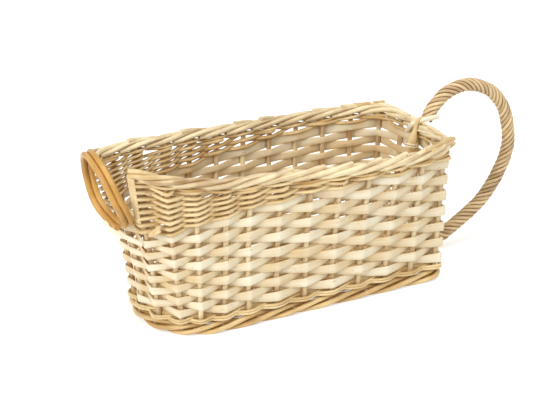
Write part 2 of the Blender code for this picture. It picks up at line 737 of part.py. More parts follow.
def build_core(rope_start, rope_way):
    """The bare end of the handle's rod: thinned over the border and down inside the back wall."""
    centre = rim_frame(BACK_STATION)[0]
    beside = np.array([0.0, CORE_SIDE_REACH, 0.0])
    reach = BORDER_OUTER_RADIUS + 2 * CLEARANCE + CORE_NECK_RADIUS
    tuck = WALL_DEPTH + 2 * CLEARANCE + 2 * LASHING_RADIUS + CORE_RADIUS
    points = []
    for share in (1.0, 0.5):
        height = centre[2] - BORDER_OUTER_RADIUS - CORE_TUCK * share
        points.append(wall_point(BACK_STATION, height, -tuck) - beside)
    for degrees, side_share in ((180, 1.0), (140, 0.85), (100, 0.55), (65, 0.2)):
        turn = math.radians(degrees)
        round_border = reach * np.array([math.cos(turn), 0.0, math.sin(turn)])
        points.append(centre + round_border - beside * side_share)
    points.append(rope_start - rope_way * (CORE_NECK_RADIUS + 2 * CLEARANCE))
    points.append(rope_start - rope_way * 2 * CLEARANCE)
    route, places = smooth_route(points, CORE_NECK_RADIUS)
    stations = [0.0, 0.5 * CORE_TUCK, CORE_TUCK, CORE_TUCK + BORDER_OUTER_RADIUS]
    sizes = [CORE_TIP_RADIUS, CORE_RADIUS, CORE_RADIUS, CORE_NECK_RADIUS]
    radii = np.interp(places, stations, sizes)
    rod("handle_core", route, list(radii), WILLOW_HANDLE, resolution=1)
    return route, places, radii


def build_lashing(route, places, radii):
    """A thin strand wound round the bare rod inside the wall."""
    pitch = LASHING_TURN_GAP + 2 * LASHING_RADIUS
    last = CORE_TUCK - LASHING_DROP
    sideways = np.array([0.0, 1.0, 0.0])
    steps = 10
    points = []
    for index in range(steps * LASHING_TURNS + 1):
        turn = 2 * math.pi * index / steps
        place = last - pitch * index / steps
        reach = np.interp(place, places, radii) + CLEARANCE + LASHING_RADIUS
        spot = np.array([np.interp(place, places, route[:, axis]) for axis in range(3)])
        ahead = np.array([np.interp(place + LASHING_RADIUS, places, route[:, axis])
                          for axis in range(3)])
        along = (ahead - spot) / np.linalg.norm(ahead - spot)
        across = np.cross(along, sideways)
        points.append(spot + reach * (across * math.cos(turn) + sideways * math.sin(turn)))
    rod("handle_lashing", points, LASHING_RADIUS, WILLOW_SKEIN)


def ring_point(base, turn):
    """Point of the ring's coil; turn 0 and one full turn later are at its lowest place."""
    level = np.array([math.cos(RING_YAW), -math.sin(RING_YAW), 0.0])
    upward = np.array([0.0, 0.0, 1.0])
    axis = level * math.cos(RING_LEAN) + upward * math.sin(RING_LEAN)
    down = level * math.sin(RING_LEAN) - upward * math.cos(RING_LEAN)
    sideways = np.array([math.sin(RING_YAW), math.cos(RING_YAW), 0.0])
    pitch = 2 * RING_ROD_RADIUS + RING_TURN_GAP
    round_share = (turn - RING_START) / (2 * math.pi)
    whole = math.floor(round_share)
    step = max(0.0, (round_share - whole - RING_STEP_SHARE) / (1 - RING_STEP_SHARE))
    return (base + axis * pitch * (whole + step)
            + RING_RADIUS * (down * math.cos(turn) + sideways * math.sin(turn)))


def build_ring():
    """The neck ring: a rattan rod wound twice, standing on the front of the nose."""
    seat = wall_point(0, WAIST_HEIGHT + RING_SEAT_RISE, WALL_OUTER + RING_SEAT_GAP + RING_ROD_RADIUS)
    lowest = np.array([seat[0], seat[1] - RING_SIDE_REACH, seat[2]])
    nothing = np.zeros(3)
    base = lowest - ring_point(nothing, 2 * math.pi)
    count = RING_POINTS_PER_TURN * RING_TURNS
    span = 2 * math.pi * RING_TURNS - RING_END_GAP
    turns = [RING_START + span * index / count for index in range(count + 1)]
    points = [ring_point(base, turn) for turn in turns]
    rod("neck_ring", points, RING_ROD_RADIUS, RATTAN_RING, resolution=1)
    return ring_point(base, math.asin(RING_SIDE_REACH / RING_RADIUS))


def build_holder(front):
    """The weaver that straps the ring against the nose and lies on a skein at each end."""
    ahead = front[0] - RING_ROD_RADIUS - CLEARANCE - HOLDER_RADIUS
    end_height = SKEIN_START_HEIGHT + skein_pitch(NEAR_POST) * (HOLDER_ROW + 0.5)
    drop = front[2] - end_height
    points = []
    for station, forward_part, drop_part in HOLDER_SHARES:
        height = front[2] - drop * drop_part
        out = clear_out(station, height, 1, SKEIN_SPREAD) + SKEIN_THICKNESS / 2
        seat = wall_point(station, height, out + CLEARANCE + HOLDER_RADIUS)
        x = seat[0] + (ahead - seat[0]) * forward_part
        points.append(np.array([x, seat[1], height]))
    rod("ring_holder", points, HOLDER_RADIUS, WILLOW_SKEIN)


clear_scene()
PARTS = new_collection("wine_bottle_basket")
CUTTERS = new_collection("cutters")
FLOOR = floor_cutter()

build_foot(FLOOR)
build_base()
build_wale()
build_lip()
for place in range(NEAR_POST, FAR_POST + 1):
    build_stake(place)
for line in range(SKEIN_ROWS):
    build_skein_row(line)
for line in range(2):
    build_packing_ring(line)
build_packing_loop()
build_packing_side("packing_near", NEAR_POST, 1)
build_packing_side("packing_far", FAR_POST, -1)
build_starters()
build_lashing(*build_core(*build_rope()))
build_holder(build_ring())
print("objects:", len(PARTS.objects))
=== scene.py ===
import math
import random

import bpy
import numpy as np
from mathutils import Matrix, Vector


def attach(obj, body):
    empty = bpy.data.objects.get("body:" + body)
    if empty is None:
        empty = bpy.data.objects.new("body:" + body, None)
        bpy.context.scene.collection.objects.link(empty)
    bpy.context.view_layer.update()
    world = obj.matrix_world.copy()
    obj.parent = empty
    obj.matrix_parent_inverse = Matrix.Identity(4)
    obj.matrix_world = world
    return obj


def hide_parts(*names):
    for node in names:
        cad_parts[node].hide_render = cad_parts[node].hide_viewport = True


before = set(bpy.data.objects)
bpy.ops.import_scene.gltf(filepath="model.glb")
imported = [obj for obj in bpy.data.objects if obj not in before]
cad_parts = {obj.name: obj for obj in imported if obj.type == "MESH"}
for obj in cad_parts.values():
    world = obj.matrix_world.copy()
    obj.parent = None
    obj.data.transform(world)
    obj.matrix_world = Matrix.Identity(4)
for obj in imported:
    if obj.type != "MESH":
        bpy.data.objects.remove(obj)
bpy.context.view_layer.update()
bpy.ops.object.select_all(action="DESELECT")

clearance = 0.0003  # metres, like every length here: between pieces that pass each other

# the wall goes through three plan outlines, foot, waist and rim
# each has a nose from bend to tip, sides that swell by the belly, and rounded back corners
wall = {
    "foot": {"tip": 0.108, "bend": 0.062, "back": 0.119, "half": 0.0455,
             "belly": 0.0, "corner": 0.010, "roundness": 2.3,
             "noseStakes": (0.691, 0.764, 0.821, 0.867, 0.929)},
    "waist": {"tip": 0.1195, "bend": 0.065, "back": 0.124, "half": 0.0463,
              "belly": 0.0062, "corner": 0.015, "roundness": 3.2,
              "noseStakes": (0.668, 0.726, 0.796, 0.854, 0.916)},
    "rim": {"tip": 0.1355, "bend": 0.070, "back": 0.126, "half": 0.0468,
            "belly": 0.0088, "corner": 0.020, "roundness": 3.5,
            "noseStakes": (0.631, 0.695, 0.767, 0.830, 0.891)},
    "planCentre": 0.03005,
    "footHeight": 0.00392, "waistHeight": 0.080,
    "rimBack": 0.1065, "rimRise": 0.020, "rimPower": 2.1,
    "nearLift": (0.0042, 0.0018, -0.0005, -0.0031, -0.0014, 0.0),
    "farDrop": (0.0067, 0.0067, 0.0037, 0.0016, 0.0),
    "skeinBack": 0.0976, "skeinDrop": 0.0176, "skeinPower": 2.9,
    "sideStakes": 9, "stations": 28, "bellyPower": 1.5, "outlineSteps": 120, "planSteps": 24,
}
stations = wall["stations"]
backStation = stations // 2
nearPost, farPost = 1, stations - 1


def runLengths(points):
    # how far along the line each of its points lies
    steps = np.linalg.norm(np.diff(points, axis=0), axis=1)
    return np.concatenate(([0.0], np.cumsum(steps)))


def halfOutline(plan):
    # one side of a plan outline, from the middle of the back to the tip of the nose
    def side(x):
        share = max((x + plan["bend"]) / (plan["back"] + plan["bend"]), 0.0)
        return plan["half"] + plan["belly"] * math.sin(math.pi * share ** wall["bellyPower"])

    cornerX = plan["back"] - plan["corner"]
    cornerY = side(cornerX) - plan["corner"]
    points = [(plan["back"], 0.0)]
    for turn in np.linspace(0, math.pi / 2, wall["outlineSteps"] // 3 + 1):
        points.append((cornerX + plan["corner"] * math.cos(turn),
                       -cornerY - plan["corner"] * math.sin(turn)))
    for x in np.linspace(cornerX, -plan["bend"], wall["outlineSteps"] + 1)[1:]:
        points.append((x, -side(x)))
    power = 2 / plan["roundness"]
    for turn in np.linspace(0, math.pi / 2, wall["outlineSteps"] + 1)[1:]:
        reach = (plan["tip"] - plan["bend"]) * math.sin(turn) ** power
        points.append((-plan["bend"] - reach, -plan["half"] * max(math.cos(turn), 0.0) ** power))
    points = np.array(points)
    return points, runLengths(points)


def planTable(plan):
    # the outline's point at every station, and between them
    points, run = halfOutline(plan)
    nose = plan["noseStakes"]
    shares = [nose[0] * n / wall["sideStakes"] for n in range(wall["sideStakes"])]
    shares += list(nose) + [1.0]
    places = np.arange(stations * wall["planSteps"] + 1) / wall["planSteps"]
    folded = np.where(places > backStation, stations - places, places)
    share = np.interp(backStation - folded, range(len(shares)), shares) * run[-1]
    x = np.interp(share, run, points[:, 0])
    y = np.interp(share, run, points[:, 1]) * np.where(places > backStation, -1, 1)
    return places, x, y


plans = {name: planTable(wall[name]) for name in ("foot", "waist", "rim")}


def planAt(name, station):
    places, x, y = plans[name]
    wrapped = np.asarray(station, float) % stations
    return np.stack([np.interp(wrapped, places, x), np.interp(wrapped, places, y)], -1)


postX = planAt("rim", nearPost)[0]


def forwardShare(station):
    # 0 at the back of the rim, 1 at the near post of the notch
    back = wall["rim"]["back"]
    return np.maximum((back - planAt("rim", station)[..., 0]) / (back - postX), 0.0)


# the border's near end climbs to its post and the far end stays low
endPlaces = [-nearPost - n for n in range(len(wall["farDrop"]))][::-1]
endPlaces += [nearPost + n for n in range(len(wall["nearLift"]))]
endLifts = [-drop for drop in wall["farDrop"]][::-1] + list(wall["nearLift"])


def rimHeight(station):
    wrapped = (np.asarray(station, float) + backStation) % stations - backStation
    even = wall["rimBack"] + wall["rimRise"] * forwardShare(station) ** wall["rimPower"]
    return even + np.interp(wrapped, endPlaces, endLifts)


def skeinTop(station):
    share = np.minimum(forwardShare(station), 1.0)
    return wall["skeinBack"] - wall["skeinDrop"] * share ** wall["skeinPower"]


def wallCentre(station, height):
    # a parabola through foot, waist and rim at each station
    low, middle, high = wall["footHeight"], wall["waistHeight"], rimHeight(station)
    height = height + 0 * high
    foot = (height - middle) * (height - high) / ((low - middle) * (low - high))
    waist = (height - low) * (height - high) / ((middle - low) * (middle - high))
    rim = (height - low) * (height - middle) / ((high - low) * (high - middle))
    plan = (planAt("foot", station) * foot[..., None] + planAt("waist", station) * waist[..., None]
            + planAt("rim", station) * rim[..., None])
    return np.stack([plan[..., 0] - wall["planCentre"], plan[..., 1], height], -1)


def unit(vectors):
    return vectors / np.linalg.norm(vectors, axis=-1, keepdims=True)


probe = {"stations": 0.05, "height": 0.0003}


def wallFrame(station, height):
    # the wall's middle, its outward direction and its upward direction
    station = np.asarray(station, float)
    height = np.asarray(height, float)
    beside, above = probe["stations"], probe["height"]
    along = wallCentre(station + beside, height) - wallCentre(station - beside, height)
    up = unit(wallCentre(station, height + above) - wallCentre(station, height - above))
    return wallCentre(station, height), unit(np.cross(along, up)), up


def wallPoint(station, height, out=0.0):
    centre, normal, up = wallFrame(station, height)
    return centre + normal * np.asarray(out)[..., None]


def stationPitch(station, height):
    return np.linalg.norm(wallCentre(station + 0.5, height) - wallCentre(station - 0.5, height),
                          axis=-1)


def clearOut(station, height, side, spread, step=1.0, nextShare=-1.0):
    # how far out a weaver stands at a stake, so that its straight runs clear it
    centre, normal, up = wallFrame(station, height)
    side = np.asarray(side, float)
    offset = (side * spread)[..., None]
    here = centre + normal * offset
    least = 1.0
    for way in (-step, step):
        other, otherNormal = wallFrame(station + way, height)[:2]
        run = other + otherNormal * offset * nextShare - here
        share = np.abs((run * normal).sum(-1)) / np.linalg.norm(run, axis=-1)
        least = np.minimum(least, np.sqrt(1 - share ** 2))
    return side * spread / least


easeSteps = 14  # between two points of a route, before it is spaced evenly


def easedRoute(rows, spacing, closed=False, straight=0.0):
    # a smooth route through the rows, x y z and anything that follows along, evenly spaced
    rows = np.asarray(rows, float)
    if closed:
        padded = np.vstack([rows[-1], rows, rows[0], rows[1]])
    else:
        padded = np.vstack([2 * rows[0] - rows[1], rows, 2 * rows[-1] - rows[-2]])
    knots = np.sqrt(np.linalg.norm(np.diff(padded[:, :3], axis=0), axis=1)) + 1e-9
    knots = np.concatenate(([0.0], np.cumsum(knots)))
    finer = []
    for index in range(1, len(padded) - 2):
        p0, p1, p2, p3 = padded[index - 1:index + 3]
        t0, t1, t2, t3 = knots[index - 1:index + 3]
        t = np.linspace(t1, t2, easeSteps + 1)[:-1, None]
        a1 = (t1 - t) / (t1 - t0) * p0 + (t - t0) / (t1 - t0) * p1
        a2 = (t2 - t) / (t2 - t1) * p1 + (t - t1) / (t2 - t1) * p2
        a3 = (t3 - t) / (t3 - t2) * p2 + (t - t2) / (t3 - t2) * p3
        b1 = (t2 - t) / (t2 - t0) * a1 + (t - t0) / (t2 - t0) * a2
        b2 = (t3 - t) / (t3 - t1) * a2 + (t - t1) / (t3 - t1) * a3
        curved = (t2 - t) / (t2 - t1) * b1 + (t - t1) / (t2 - t1) * b2
        finer.append(curved * (1 - straight) + a2 * straight)
    finer = np.vstack(finer + [padded[len(padded) - 2][None, :]])
    run = runLengths(finer[:, :3])
    count = max(4, int(round(run[-1] / spacing)))
    places = np.linspace(0.0, run[-1], count + 1)
    if closed:
        places = places[:-1]
    return np.stack([np.interp(places, run, finer[:, axis]) for axis in range(finer.shape[1])], 1)


def wander(places, seed, size, length):
    # a slow, uneven drift along a rod
    maker = random.Random(seed)
    drift = np.zeros(len(places))
    for octave in (1.0, 2.3, 5.1):
        drift += np.sin(places * 2 * math.pi * octave / length + maker.uniform(0, 6.28)) / octave
    return size * drift / 1.6


def unevenRadii(radius, route, spacing, seed, play):
    # a rod's radius at each point of its route, a little thicker and thinner on the way
    return radius * (1 + wander(np.arange(len(route)) * spacing, seed, *play))


# rods and skeins as geometry

rodSurface = {"capSize": 0.003, "shift": 3, "driftLength": 0.09, "edgeFrom": 0.5,
              "edgeRun": 0.45, "weld": 0.000002}


def stripSection(name, outline):
    bpy.ops.curve.primitive_bezier_circle_add(radius=0.001)
    section = bpy.context.object
    section.name = name
    section.data.splines.clear()
    spline = section.data.splines.new("POLY")
    spline.points.add(len(outline) - 1)
    for point, (x, y) in zip(spline.points, outline):
        point.co = (x, y, 0.0, 1.0)
    spline.use_cyclic_u = True
    return section


def sectionTilts(route, ups, closed):
    # the tilt of each point that turns the strip's outer face to the given direction
    if closed:
        back, ahead = route - np.roll(route, 1, 0), np.roll(route, -1, 0) - route
    else:
        steps = np.diff(route, axis=0)
        back, ahead = np.vstack([steps[:1], steps]), np.vstack([steps, steps[-1:]])
    along = unit(unit(back) + unit(ahead))
    right = unit(np.cross(along, np.array([0.0, 0.0, 1.0])))
    up = np.cross(right, along)
    return np.arctan2((ups * right).sum(1), (ups * up).sum(1))


def grooveShade(mesh, path, place, radii, edge, heart):
    # painted shade: how much darker each corner is, on a rod's upper and lower edges and deep in a
    # roll of rods
    spots = np.empty(len(mesh.vertices) * 3, np.float32)
    mesh.vertices.foreach_get("co", spots)
    owners = np.empty(len(mesh.loops), np.int32)
    mesh.loops.foreach_get("vertex_index", owners)
    spots = spots.reshape(-1, 3)
    shade = np.zeros(len(owners))
    if edge:
        heights = np.interp(place, np.arange(len(path)), path[:, 2])
        girths = np.interp(place, np.arange(len(radii)), radii)
        rise = np.abs(spots[owners, 2] - heights) / girths
        shade += edge * np.clip((rise - rodSurface["edgeFrom"]) / rodSurface["edgeRun"], 0, 1)
    if heart:
        centre = np.asarray(heart["line"])
        gaps = np.linalg.norm(spots[:, None, :] - centre[None, :, :], axis=2).min(1)
        shade += heart["dark"] * np.clip((heart["reach"] - gaps[owners]) / heart["fade"], 0, 1)
    return shade


def layRod(route, radii, sides=4, closed=False, section=None, girth=None, ups=None,
           tone=0.3, toneDrift=0.12, seed=0, edge=0.0, heart=None):
    route = np.asarray(route, float)
    radii = np.full(len(route), radii) if np.isscalar(radii) else np.asarray(radii, float)
    bpy.ops.curve.primitive_nurbs_path_add()
    curve = bpy.context.object.data
    curve.splines.clear()
    curve.dimensions = "3D"
    curve.use_fill_caps = not closed
    if section:
        curve.bevel_mode = "OBJECT"
        curve.bevel_object = section
        curve.twist_mode = "Z_UP"
    else:
        curve.bevel_depth = 1.0
        curve.bevel_resolution = sides
    spline = curve.splines.new("POLY")
    spline.points.add(len(route) - 1)
    spline.points.foreach_set("co", np.c_[route, np.ones(len(route))].ravel())
    spline.points.foreach_set("radius", radii)
    if ups is not None:
        spline.points.foreach_set("tilt", sectionTilts(route, ups, closed))
    spline.use_cyclic_u = closed
    bpy.ops.object.convert(target="MESH")

    # the UV map in metres: x along the rod, y round it
    rod = bpy.context.object
    mesh = rod.data
    uv = np.empty(len(mesh.loops) * 2, np.float32)
    mesh.uv_layers[0].data.foreach_get("uv", uv)
    uv = uv.reshape(-1, 2)
    corners = np.empty(len(mesh.polygons), np.int32)
    mesh.polygons.foreach_get("loop_total", corners)
    onCap = np.repeat(corners == 3, corners)
    path = np.vstack([route, route[:1]]) if closed else route
    run = runLengths(path)
    place = uv[:, 0] * (len(run) - 1)
    along = np.interp(place, np.arange(len(run)), run)
    along[onCap] = uv[onCap, 0] * rodSurface["capSize"]
    girth = girth or 2 * math.pi * radii.mean()
    maker = random.Random(seed)
    uv[:, 0] = along + maker.uniform(0, rodSurface["shift"])
    uv[:, 1] = uv[:, 1] * girth + maker.uniform(0, rodSurface["shift"])
    mesh.uv_layers[0].data.foreach_set("uv", uv.ravel())

    # the tone is pale at 0 and dark at 1
    shade = mesh.attributes.new("tone", "FLOAT", "CORNER")
    if not np.isscalar(tone):
        tones = np.append(tone, tone[0]) if closed else tone
        tone = np.interp(place, np.arange(len(tones)), tones)
    drift = wander(along, seed + 7, toneDrift, rodSurface["driftLength"])
    # painted shade on the rod's upper and lower edges and deep in a roll of rods, added to the
    # grain's drift
    drift += grooveShade(mesh, path, place, radii, edge, heart)
    shade.data.foreach_set("value", np.clip(tone + drift, 0, 1).astype(np.float32))
    return rod


def finishPiece(name, rods, node, look, sharpAngle=45, smoother=False, keepAbove=None):
    # joins the rods into one piece, which stands in for a node unless node is None
    bpy.ops.object.select_all(action="DESELECT")
    for rod in rods:
        rod.select_set(True)
    piece = rods[0]
    bpy.context.view_layer.objects.active = piece
    if len(rods) > 1:
        bpy.ops.object.join()
    piece.name = name
    piece.data.name = name
    bpy.ops.object.mode_set(mode="EDIT")
    bpy.ops.mesh.select_all(action="SELECT")
    bpy.ops.mesh.remove_doubles(threshold=rodSurface["weld"])
    bpy.ops.mesh.normals_make_consistent(inside=False)
    bpy.ops.object.mode_set(mode="OBJECT")
    if smoother:
        change = piece.modifiers.new("soften", "SUBSURF")
        change.levels = change.render_levels = 1
        bpy.ops.object.modifier_apply(modifier=change.name)
    if keepAbove is not None:  # rubbed flat where it stands
        for vertex in piece.data.vertices:
            vertex.co.z = max(vertex.co.z, keepAbove)
    bpy.ops.object.shade_smooth_by_angle(angle=math.radians(sharpAngle))
    piece.data.materials.clear()
    piece.data.materials.append(look)
    piece.select_set(False)
    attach(piece, "root")
    if node:
        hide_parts(node)
    return piece


# finishes

grain = {"fibre": (45, 1500, 1), "streak": (16, 420, 1), "fleck": (190, 900, 1), "blotch": 70.0,
         "fibreShare": 0.45, "streakShare": 0.55, "roughPlay": 0.2, "ridgeDepth": 0.0003,
         "fleckShare": 0.45}


def mathNode(nodes, links, operation, first, second):
    calc = nodes.new("ShaderNodeMath")
    calc.operation = operation
    for socket, value in zip(calc.inputs, (first, second)):
        if isinstance(value, (int, float)):
            socket.default_value = value
        else:
            links.new(value, socket)
    return calc.outputs["Value"]


def willowGrainGroup():
    # streaks along the rod, blotches across the piece and short dark flecks
    group = bpy.data.node_groups.new("willowGrain", "ShaderNodeTree")
    for name, kind in (("Along", "Vector"), ("Tone", "Float"), ("Pale", "Color"),
                       ("Dark", "Color"), ("Fleck", "Color"), ("Streaks", "Float"),
                       ("Blotches", "Float"), ("Flecks", "Float"), ("Gloss", "Float")):
        group.interface.new_socket(name=name, in_out="INPUT", socket_type="NodeSocket" + kind)
    for name, kind in (("Color", "Color"), ("Roughness", "Float"), ("Height", "Float")):
        group.interface.new_socket(name=name, in_out="OUTPUT", socket_type="NodeSocket" + kind)
    nodes, links = group.nodes, group.links
    source = nodes.new("NodeGroupInput")
    target = nodes.new("NodeGroupOutput")

    def noise(vector, scale, stretch, detail):
        mapping = nodes.new("ShaderNodeMapping")
        mapping.inputs["Scale"].default_value = stretch
        texture = nodes.new("ShaderNodeTexNoise")
        texture.inputs["Scale"].default_value = scale
        texture.inputs["Detail"].default_value = detail
        links.new(vector, mapping.inputs["Vector"])
        links.new(mapping.outputs["Vector"], texture.inputs["Vector"])
        return texture.outputs["Fac"]

    def stretchRange(value, low, high):
        ranged = nodes.new("ShaderNodeMapRange")
        ranged.inputs["From Min"].default_value = low
        ranged.inputs["From Max"].default_value = high
        links.new(value, ranged.inputs["Value"])
        return ranged.outputs["Result"]

    def sums(operation, first, second):
        return mathNode(nodes, links, operation, first, second)

    objectPlace = nodes.new("ShaderNodeTexCoord").outputs["Object"]
    fibre = stretchRange(noise(source.outputs["Along"], 1.0, grain["fibre"], 3), 0.3, 0.7)
    streak = stretchRange(noise(source.outputs["Along"], 1.0, grain["streak"], 2), 0.32, 0.68)
    blotch = stretchRange(noise(objectPlace, grain["blotch"], (1, 1, 1), 2), 0.3, 0.7)
    fleck = stretchRange(noise(source.outputs["Along"], 1.0, grain["fleck"], 1), 0.70, 0.76)

    lines = sums("ADD", sums("MULTIPLY", fibre, grain["fibreShare"]),
                 sums("MULTIPLY", streak, grain["streakShare"]))
    lines = sums("MULTIPLY", sums("SUBTRACT", lines, 0.5), source.outputs["Streaks"])
    spots = sums("MULTIPLY", sums("SUBTRACT", blotch, 0.5), source.outputs["Blotches"])
    share = sums("ADD", sums("ADD", source.outputs["Tone"], lines), spots)
    share = stretchRange(share, 0.0, 1.0)

    body = nodes.new("ShaderNodeMix")
    body.data_type = "RGBA"
    links.new(share, body.inputs["Factor"])
    links.new(source.outputs["Pale"], body.inputs["A"])
    links.new(source.outputs["Dark"], body.inputs["B"])
    flecked = nodes.new("ShaderNodeMix")
    flecked.data_type = "RGBA"
    links.new(sums("MULTIPLY", fleck, source.outputs["Flecks"]), flecked.inputs["Factor"])
    links.new(body.outputs["Result"], flecked.inputs["A"])
    links.new(source.outputs["Fleck"], flecked.inputs["B"])
    links.new(flecked.outputs["Result"], target.inputs["Color"])
    rough = sums("MULTIPLY", sums("SUBTRACT", fibre, 0.5), grain["roughPlay"])
    links.new(sums("ADD", source.outputs["Gloss"], rough), target.inputs["Roughness"])
    height = sums("ADD", sums("MULTIPLY", fibre, 0.4), sums("MULTIPLY", streak, 0.6))
    links.new(height, target.inputs["Height"])
    return group


willowGrain = willowGrainGroup()


def willowLook(name, pale, dark, streaks=0.7, blotches=0.5, flecks=0.6, gloss=0.45, bump=0.5):
    look = bpy.data.materials.new(name)
    look.use_nodes = True
    nodes, links = look.node_tree.nodes, look.node_tree.links
    shader = nodes["Principled BSDF"]
    colours = nodes.new("ShaderNodeGroup")
    colours.node_tree = willowGrain
    colours.inputs["Pale"].default_value = (*pale, 1)
    colours.inputs["Dark"].default_value = (*dark, 1)
    colours.inputs["Fleck"].default_value = (*[part * grain["fleckShare"] for part in dark], 1)
    for socket, value in (("Streaks", streaks), ("Blotches", blotches), ("Flecks", flecks),
                          ("Gloss", gloss)):
        colours.inputs[socket].default_value = value
    place = nodes.new("ShaderNodeUVMap")
    place.uv_map = "UVMap"
    tone = nodes.new("ShaderNodeAttribute")
    tone.attribute_name = "tone"
    ridges = nodes.new("ShaderNodeBump")
    ridges.inputs["Strength"].default_value = bump
    ridges.inputs["Distance"].default_value = grain["ridgeDepth"]
    links.new(place.outputs["UV"], colours.inputs["Along"])
    links.new(tone.outputs["Fac"], colours.inputs["Tone"])
    links.new(colours.outputs["Color"], shader.inputs["Base Color"])
    links.new(colours.outputs["Roughness"], shader.inputs["Roughness"])
    links.new(colours.outputs["Height"], ridges.inputs["Height"])
    links.new(ridges.outputs["Normal"], shader.inputs["Normal"])
    return look


skeinLook = willowLook("paleWillowSkein", pale=(0.92, 0.85, 0.65), dark=(0.74, 0.55, 0.29),
                       streaks=0.5, blotches=0.35, flecks=0.5)
rodLook = willowLook("honeyWillowRod", pale=(0.86, 0.68, 0.37), dark=(0.50, 0.29, 0.09))
stakeLook = willowLook("tanWillowStake", pale=(0.94, 0.80, 0.51), dark=(0.42, 0.23, 0.08),
                       gloss=0.5)
footLook = willowLook("darkHoneyFootRod", pale=(0.84, 0.62, 0.30), dark=(0.48, 0.26, 0.07),
                      flecks=0.7)
# its dark colour is also the painted shade deep in the rope's grooves
handleLook = willowLook("tanHandleRod", pale=(0.86, 0.65, 0.36), dark=(0.24, 0.11, 0.03),
                        streaks=0.6, blotches=0.35, bump=0.6)
ringLook = willowLook("goldenRattan", pale=(0.68, 0.38, 0.09), dark=(0.34, 0.15, 0.03),
                      streaks=0.8, blotches=0.4, flecks=0.4, gloss=0.38)
print("finishes made")

# the foot: three rods rolled round each other

foot = {"rodRadius": 0.00185, "rods": 3, "turns": 7, "turnSteps": 44, "ringRadius": 0.00257,
        "floorCut": 0.0005, "play": (0.05, 0.12), "tone": 0.15, "toneStep": 0.15,
        "heart": {"reach": 0.0037, "fade": 0.0014, "dark": 0.8}}
footHeight = 2 * (foot["ringRadius"] + foot["rodRadius"]) - foot["floorCut"]

places = np.arange(0, stations, 0.1)
footLine = wallCentre(places, np.full(len(places), wall["footHeight"]))
for strand in range(foot["rods"]):
    steps = foot["turns"] * foot["turnSteps"]
    share = np.arange(steps) / steps
    station = stations * share
    turn = 2 * math.pi * (share * foot["turns"] + strand / foot["rods"])
    centre, normal, up = wallFrame(station, np.full(len(share), wall["footHeight"]))
    level = unit(normal * np.array([1.0, 1.0, 0.0]))
    route = centre + foot["ringRadius"] * level * np.cos(turn)[:, None]
    route[:, 2] += foot["ringRadius"] * np.sin(turn)
    radii = foot["rodRadius"] * (1 + wander(share, strand, *foot["play"]))
    # painted shade: each rod darker deep in the roll, near the foot's middle line
    rod = layRod(route, radii, 4, True, tone=foot["tone"] + foot["toneStep"] * strand,
                 toneDrift=0.2, seed=100 + strand, heart={"line": footLine, **foot["heart"]})
    finishPiece(f"footRod{strand + 1}", [rod], f"foot_rod_{strand + 1}", footLook,
                keepAbove=0.0)
print("foot rolled")

# the wale: two pairs of thin rods twined between the stakes, and a rod behind each pair

wale = {"rodRadius": 0.0016, "spread": 0.0036, "lift": 0.00175, "thinRadius": 0.00096,
        "apart": 0.00095, "rising": 0.30, "inner": ((-0.0030, -0.0030), (-0.0030, 0.0010)),
        "innerRadius": 0.0020, "spacing": 0.0012, "innerSpacing": 0.0025, "play": (0.08, 0.06),
        "tone": 0.12, "toneStep": 0.1, "edge": 0.5}
waleHeight = footHeight + clearance + wale["lift"] + wale["rodRadius"]

for strand in range(2):
    rods = []
    for above in (-1, 1):
        station = np.arange(2 * stations) / 2
        turn = math.pi * (station + strand)
        height = np.full(len(station), waleHeight)
        centre, normal, up = wallFrame(station, height)
        atStake = np.arange(2 * stations) % 2 == 0
        out = np.where(atStake, clearOut(station, height, np.cos(turn), wale["spread"], 0.5, 0.0),
                       0.0)
        rise = wale["rising"] * wale["lift"] * np.sin(turn) + above * wale["apart"]
        route = easedRoute(centre + normal * out[:, None] + up * rise[:, None], wale["spacing"],
                           True)
        radii = unevenRadii(wale["thinRadius"], route, wale["spacing"], 112 + above, wale["play"])
        # painted shade along each thin rod's upper and lower edges
        rods.append(layRod(route, radii, 3, True,
                           tone=wale["tone"] + wale["toneStep"] * (strand + above),
                           toneDrift=0.2, seed=110 + 2 * strand + above, edge=wale["edge"]))
    out, rise = wale["inner"][strand]
    spots = wallPoint(np.arange(stations), np.full(stations, waleHeight + rise),
                      np.full(stations, out))
    rods.append(layRod(easedRoute(spots, wale["innerSpacing"], True), wale["innerRadius"], 2,
                       True, tone=0.6, seed=118 + strand))
    finishPiece(f"waleRod{strand + 1}", rods, f"wale_rod_{strand + 1}", rodLook)
print("wale twined")

# the skeins: flat strips in front of one stake and behind the next

skein = {"rows": 13, "thick": 0.0013, "spread": 0.00285, "inFront": 1.36, "behind": 0.80,
         "places": (0.0, 0.06, 0.18, 0.34, 0.5, 0.66, 0.82, 0.94), "shade": 0.45,
         "heightPlay": 0.00016, "widthPlay": 0.05, "tones": (0.04, 0.12, 0.22, 0.34),
         "girth": 0.0135, "edge": 0.3, "cornerFrom": 0.5, "cornerTo": 0.85, "cornerShade": 0.6}
skeinStart = waleHeight + wale["lift"] + wale["rodRadius"] + clearance
# the strip's section for a half width of 1: round edges and a slightly crowned outer face
skeinSection = stripSection("skeinSection", [
    (-0.20, -0.90), (0.06, -1.0), (0.20, -0.72), (0.245, 0.0),
    (0.20, 0.72), (0.06, 1.0), (-0.20, 0.90), (-0.215, 0.0)])


def skeinPitch(station):
    return (skeinTop(station) - skeinStart) / skein["rows"]


